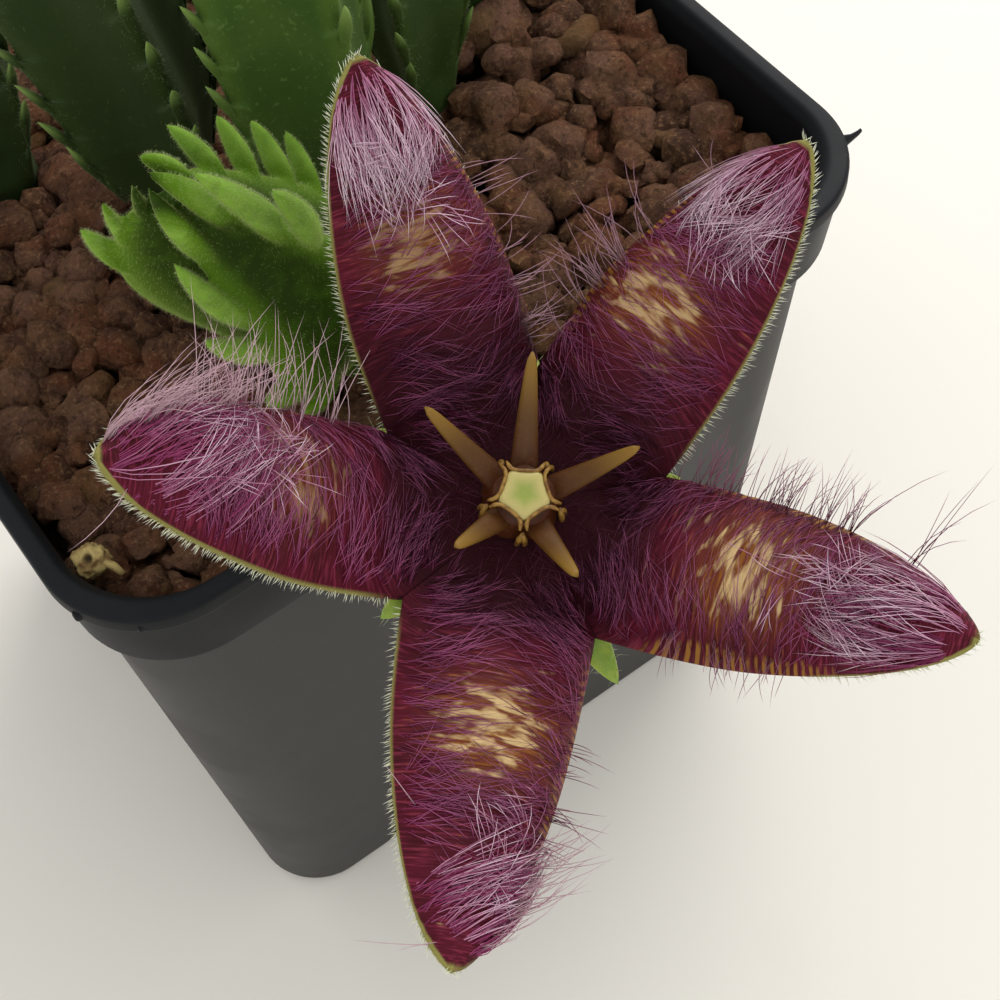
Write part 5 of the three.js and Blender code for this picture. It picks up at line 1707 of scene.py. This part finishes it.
class CARRION_OT_shoot(Operator):
    """Build the young shoot with its leaf rudiments and its down"""
    bl_idname = "carrion.shoot"
    bl_label = "Young shoot"

    def execute(self, context):
        settings = context.scene.carrion_shoot
        rng = np.random.default_rng(settings.seed)
        points, faces = joined([shoot_body(), *shoot_leaves(settings.leaf / MM, rng)])
        shoot = new_piece("leafy_young_shoot", points, faces, shoot_material(settings.skin), "shoot_green",
                          replaces=["young_shoot"])
        remesh = shoot.modifiers.new("one skin", "REMESH")
        remesh.mode, remesh.voxel_size, remesh.use_smooth_shade = "VOXEL", SHOOT_VOXEL * MM, True
        relax = shoot.modifiers.new("soften", "SMOOTH")
        relax.factor, relax.iterations = SHOOT_RELAX
        apply_modifiers(shoot)
        points = mesh_arrays(shoot)[0]
        depth = shoot_depth(points)
        # crest also keeps the hollow faces deep green, as painted shade
        values = {"crest": np.clip(depth, 0, 1), "leaf": np.clip((depth - 0.95) / 0.35, 0, 1)}
        put_values(shoot.data, values)
        weight = 0.1 + values["crest"] ** 3 + 1.6 * values["leaf"]
        weight[points[:, 2] < DOWN_FOOT] = 0
        down = hair_material("shoot_down", "#7c9638", "#d0dca0")
        down_piece("down_young_shoot", shoot, down, "shoot_green", length=settings.down / MM, rng=rng,
                   weight=weight, **SHOOT_DOWN)
        return {"FINISHED"}


class CARRION_OT_stalk(Operator):
    """Build the flower's stalk with its cup and sepals"""
    bl_idname = "carrion.stalk"
    bl_label = "Stalk and calyx"

    def execute(self, context):
        settings = context.scene.carrion_flower
        points, faces = joined([stalk_skin(), calyx_skins()])
        piece = new_piece("stalk_and_calyx", points, faces, calyx_material(settings.calyx), "calyx_green",
                          replaces=["flower_stalk"])
        rng = np.random.default_rng(settings.seed + 20)
        down = hair_material("calyx_down", "#a5bb70", "#e4ead0")
        down_piece("down_calyx", piece, down, "calyx_green", rng=rng, **CALYX_DOWN)
        return {"FINISHED"}


class CARRION_OT_corolla(Operator):
    """Build the five-lobed corolla with its wrinkles"""
    bl_idname = "carrion.corolla"
    bl_label = "Corolla"

    def execute(self, context):
        settings = context.scene.carrion_flower
        sheets = [lobe_sheet(index, **LOBE_GRID) for index in range(5)]
        points, faces = joined([(sheet[0], sheet[1]) for sheet in sheets])
        values = {key: np.concatenate([sheet[2][key] for sheet in sheets]) for key in ("lie", *SHARE_KEYS)}
        points, faces, values = merged(points, faces, values)
        material = petal_material(settings.petal, settings.patch)
        new_piece("wrinkled_corolla", from_flower(points), faces, material, "corolla_maroon",
                  replaces=["corolla"], values=values)
        return {"FINISHED"}


class CARRION_OT_hairs(Operator):
    """Build the flower's long hairs and the cilia of its margins"""
    bl_idname = "carrion.hairs"
    bl_label = "Flower hairs"

    def execute(self, context):
        settings = context.scene.carrion_flower
        rng = np.random.default_rng(settings.seed)
        radius = settings.hair / MM / 2
        tips = [tip_hairs(index, rng) for index in range(5)]
        bases = [base_hairs(index, rng, BASE_HAIRS) for index in range(5)]
        bases.append((disc_hairs(rng, DISC_HAIRS), DISC_TONE))
        fringes = [(margin_hairs(fringe, rng), fringe[-1]) for fringe in FRINGES]
        rims = [(cilia(index, rng), 0) for index in range(5)]
        for name, groups, thickness, *colours in (
                ("pale_tip_hairs", tips, 1, "pale_petal_hair", "#b5648d", "#ffeef6", "#8e3a62"),
                ("purple_base_hairs", bases, 0.8, "purple_petal_hair", "#7a1b46", "#b76d95", "#340d1c"),
                ("standing_margin_hairs", fringes, 1, "dark_margin_hair", "#4a0c28", "#8c3f66", "#cbaab0"),
                ("margin_cilia", rims, 1.05, "white_cilia", "#c9cb95", "#f6f5e6", "#a9a868")):
            hair_piece(name, groups, radius * thickness, hair_material(*colours))
        return {"FINISHED"}


class CARRION_OT_corona(Operator):
    """Build the corona's column and horns, the style head and the pollen carriers"""
    bl_idname = "carrion.corona"
    bl_label = "Corona and style head"

    def execute(self, context):
        settings = context.scene.carrion_flower
        points, faces, share = corona_skin()
        new_piece("horned_corona", from_flower(points), faces, corona_material(settings.horn), "corona_tan",
                  replaces=["corona"], values={"share": share})
        points, faces, edge = head_skin()
        new_piece("five_cornered_head", from_flower(points), faces, head_material(settings.head),
                  "head_cream", replaces=["style_head"], values={"edge": edge})
        points, faces = carrier_skins()
        new_piece("pollen_carriers", from_flower(points), faces, carrier_material(), "head_cream")
        return {"FINISHED"}


class CARRION_OT_stage(Operator):
    """Set up the pale floor, the soft light and the camera"""
    bl_idname = "carrion.stage"
    bl_label = "Stage"

    def execute(self, context):
        settings = context.scene.carrion_stage
        bpy.ops.mesh.primitive_plane_add(size=FLOOR_SIZE, location=(0, 0, 0))
        floor = context.object
        floor.name = "floor"
        floor.data.materials.append(board_material(settings.floor))
        for name, (place, aim, size, share, colour) in LIGHTS.items():
            area_light(name, place, aim, size, settings.light * share, colour)
        world = context.scene.world or bpy.data.worlds.new("even_sky")
        context.scene.world = world
        world.use_nodes = True
        background = world.node_tree.nodes["Background"]
        background.inputs["Color"].default_value = opaque(SKY_COLOUR)
        background.inputs["Strength"].default_value = settings.sky
        camera = bpy.data.cameras.new("photo_camera")
        camera.lens, camera.sensor_width = CAMERA_LENS, CAMERA_SENSOR
        camera.clip_start, camera.clip_end = CAMERA_CLIP
        eye = scene_object("photo_camera", camera)
        right, up = np.array(CAMERA_RIGHT), -np.array(CAMERA_DOWN)
        stand(eye, unit(right), unit(up), unit(np.cross(right, up)), np.array(CAMERA_PLACE) * MM)
        context.scene.camera = eye
        context.scene.view_settings.view_transform = "Standard"
        return {"FINISHED"}


STEPS = (
    CARRION_OT_pot, CARRION_OT_gravel, CARRION_OT_stems, CARRION_OT_shoot, CARRION_OT_stalk,
    CARRION_OT_corolla, CARRION_OT_hairs, CARRION_OT_corona, CARRION_OT_stage,
)
SETTINGS = {
    "carrion_pot": PotSettings, "carrion_gravel": GravelSettings, "carrion_stems": StemSettings,
    "carrion_shoot": ShootSettings, "carrion_flower": FlowerSettings, "carrion_stage": StageSettings,
}


class CARRION_PT_sidebar(Panel):
    """The plant's settings and the buttons that build its pieces"""
    bl_idname = "CARRION_PT_sidebar"
    bl_label = "Carrion Flower"
    bl_space_type = "VIEW_3D"
    bl_region_type = "UI"
    bl_category = "Carrion Flower"

    def draw(self, context):
        for name in SETTINGS:
            group = getattr(context.scene, name)
            box = self.layout.box()
            for key in group.bl_rna.properties.keys():
                if key not in ("rna_type", "name"):
                    box.prop(group, key)
        for step in STEPS:
            self.layout.operator(step.bl_idname)


def register():
    """Registers the settings, the operators and the panel."""
    for kind in (*SETTINGS.values(), *STEPS, CARRION_PT_sidebar):
        bpy.utils.register_class(kind)
    for name, kind in SETTINGS.items():
        setattr(bpy.types.Scene, name, PointerProperty(type=kind))


def unregister():
    """Takes away what register added."""
    for name in SETTINGS:
        delattr(bpy.types.Scene, name)
    for kind in reversed((*SETTINGS.values(), *STEPS, CARRION_PT_sidebar)):
        bpy.utils.unregister_class(kind)


def main():
    register()
    for step in STEPS:
        group, name = step.bl_idname.split(".")
        getattr(getattr(bpy.ops, group), name)()


if __name__ == "__main__":
    main()
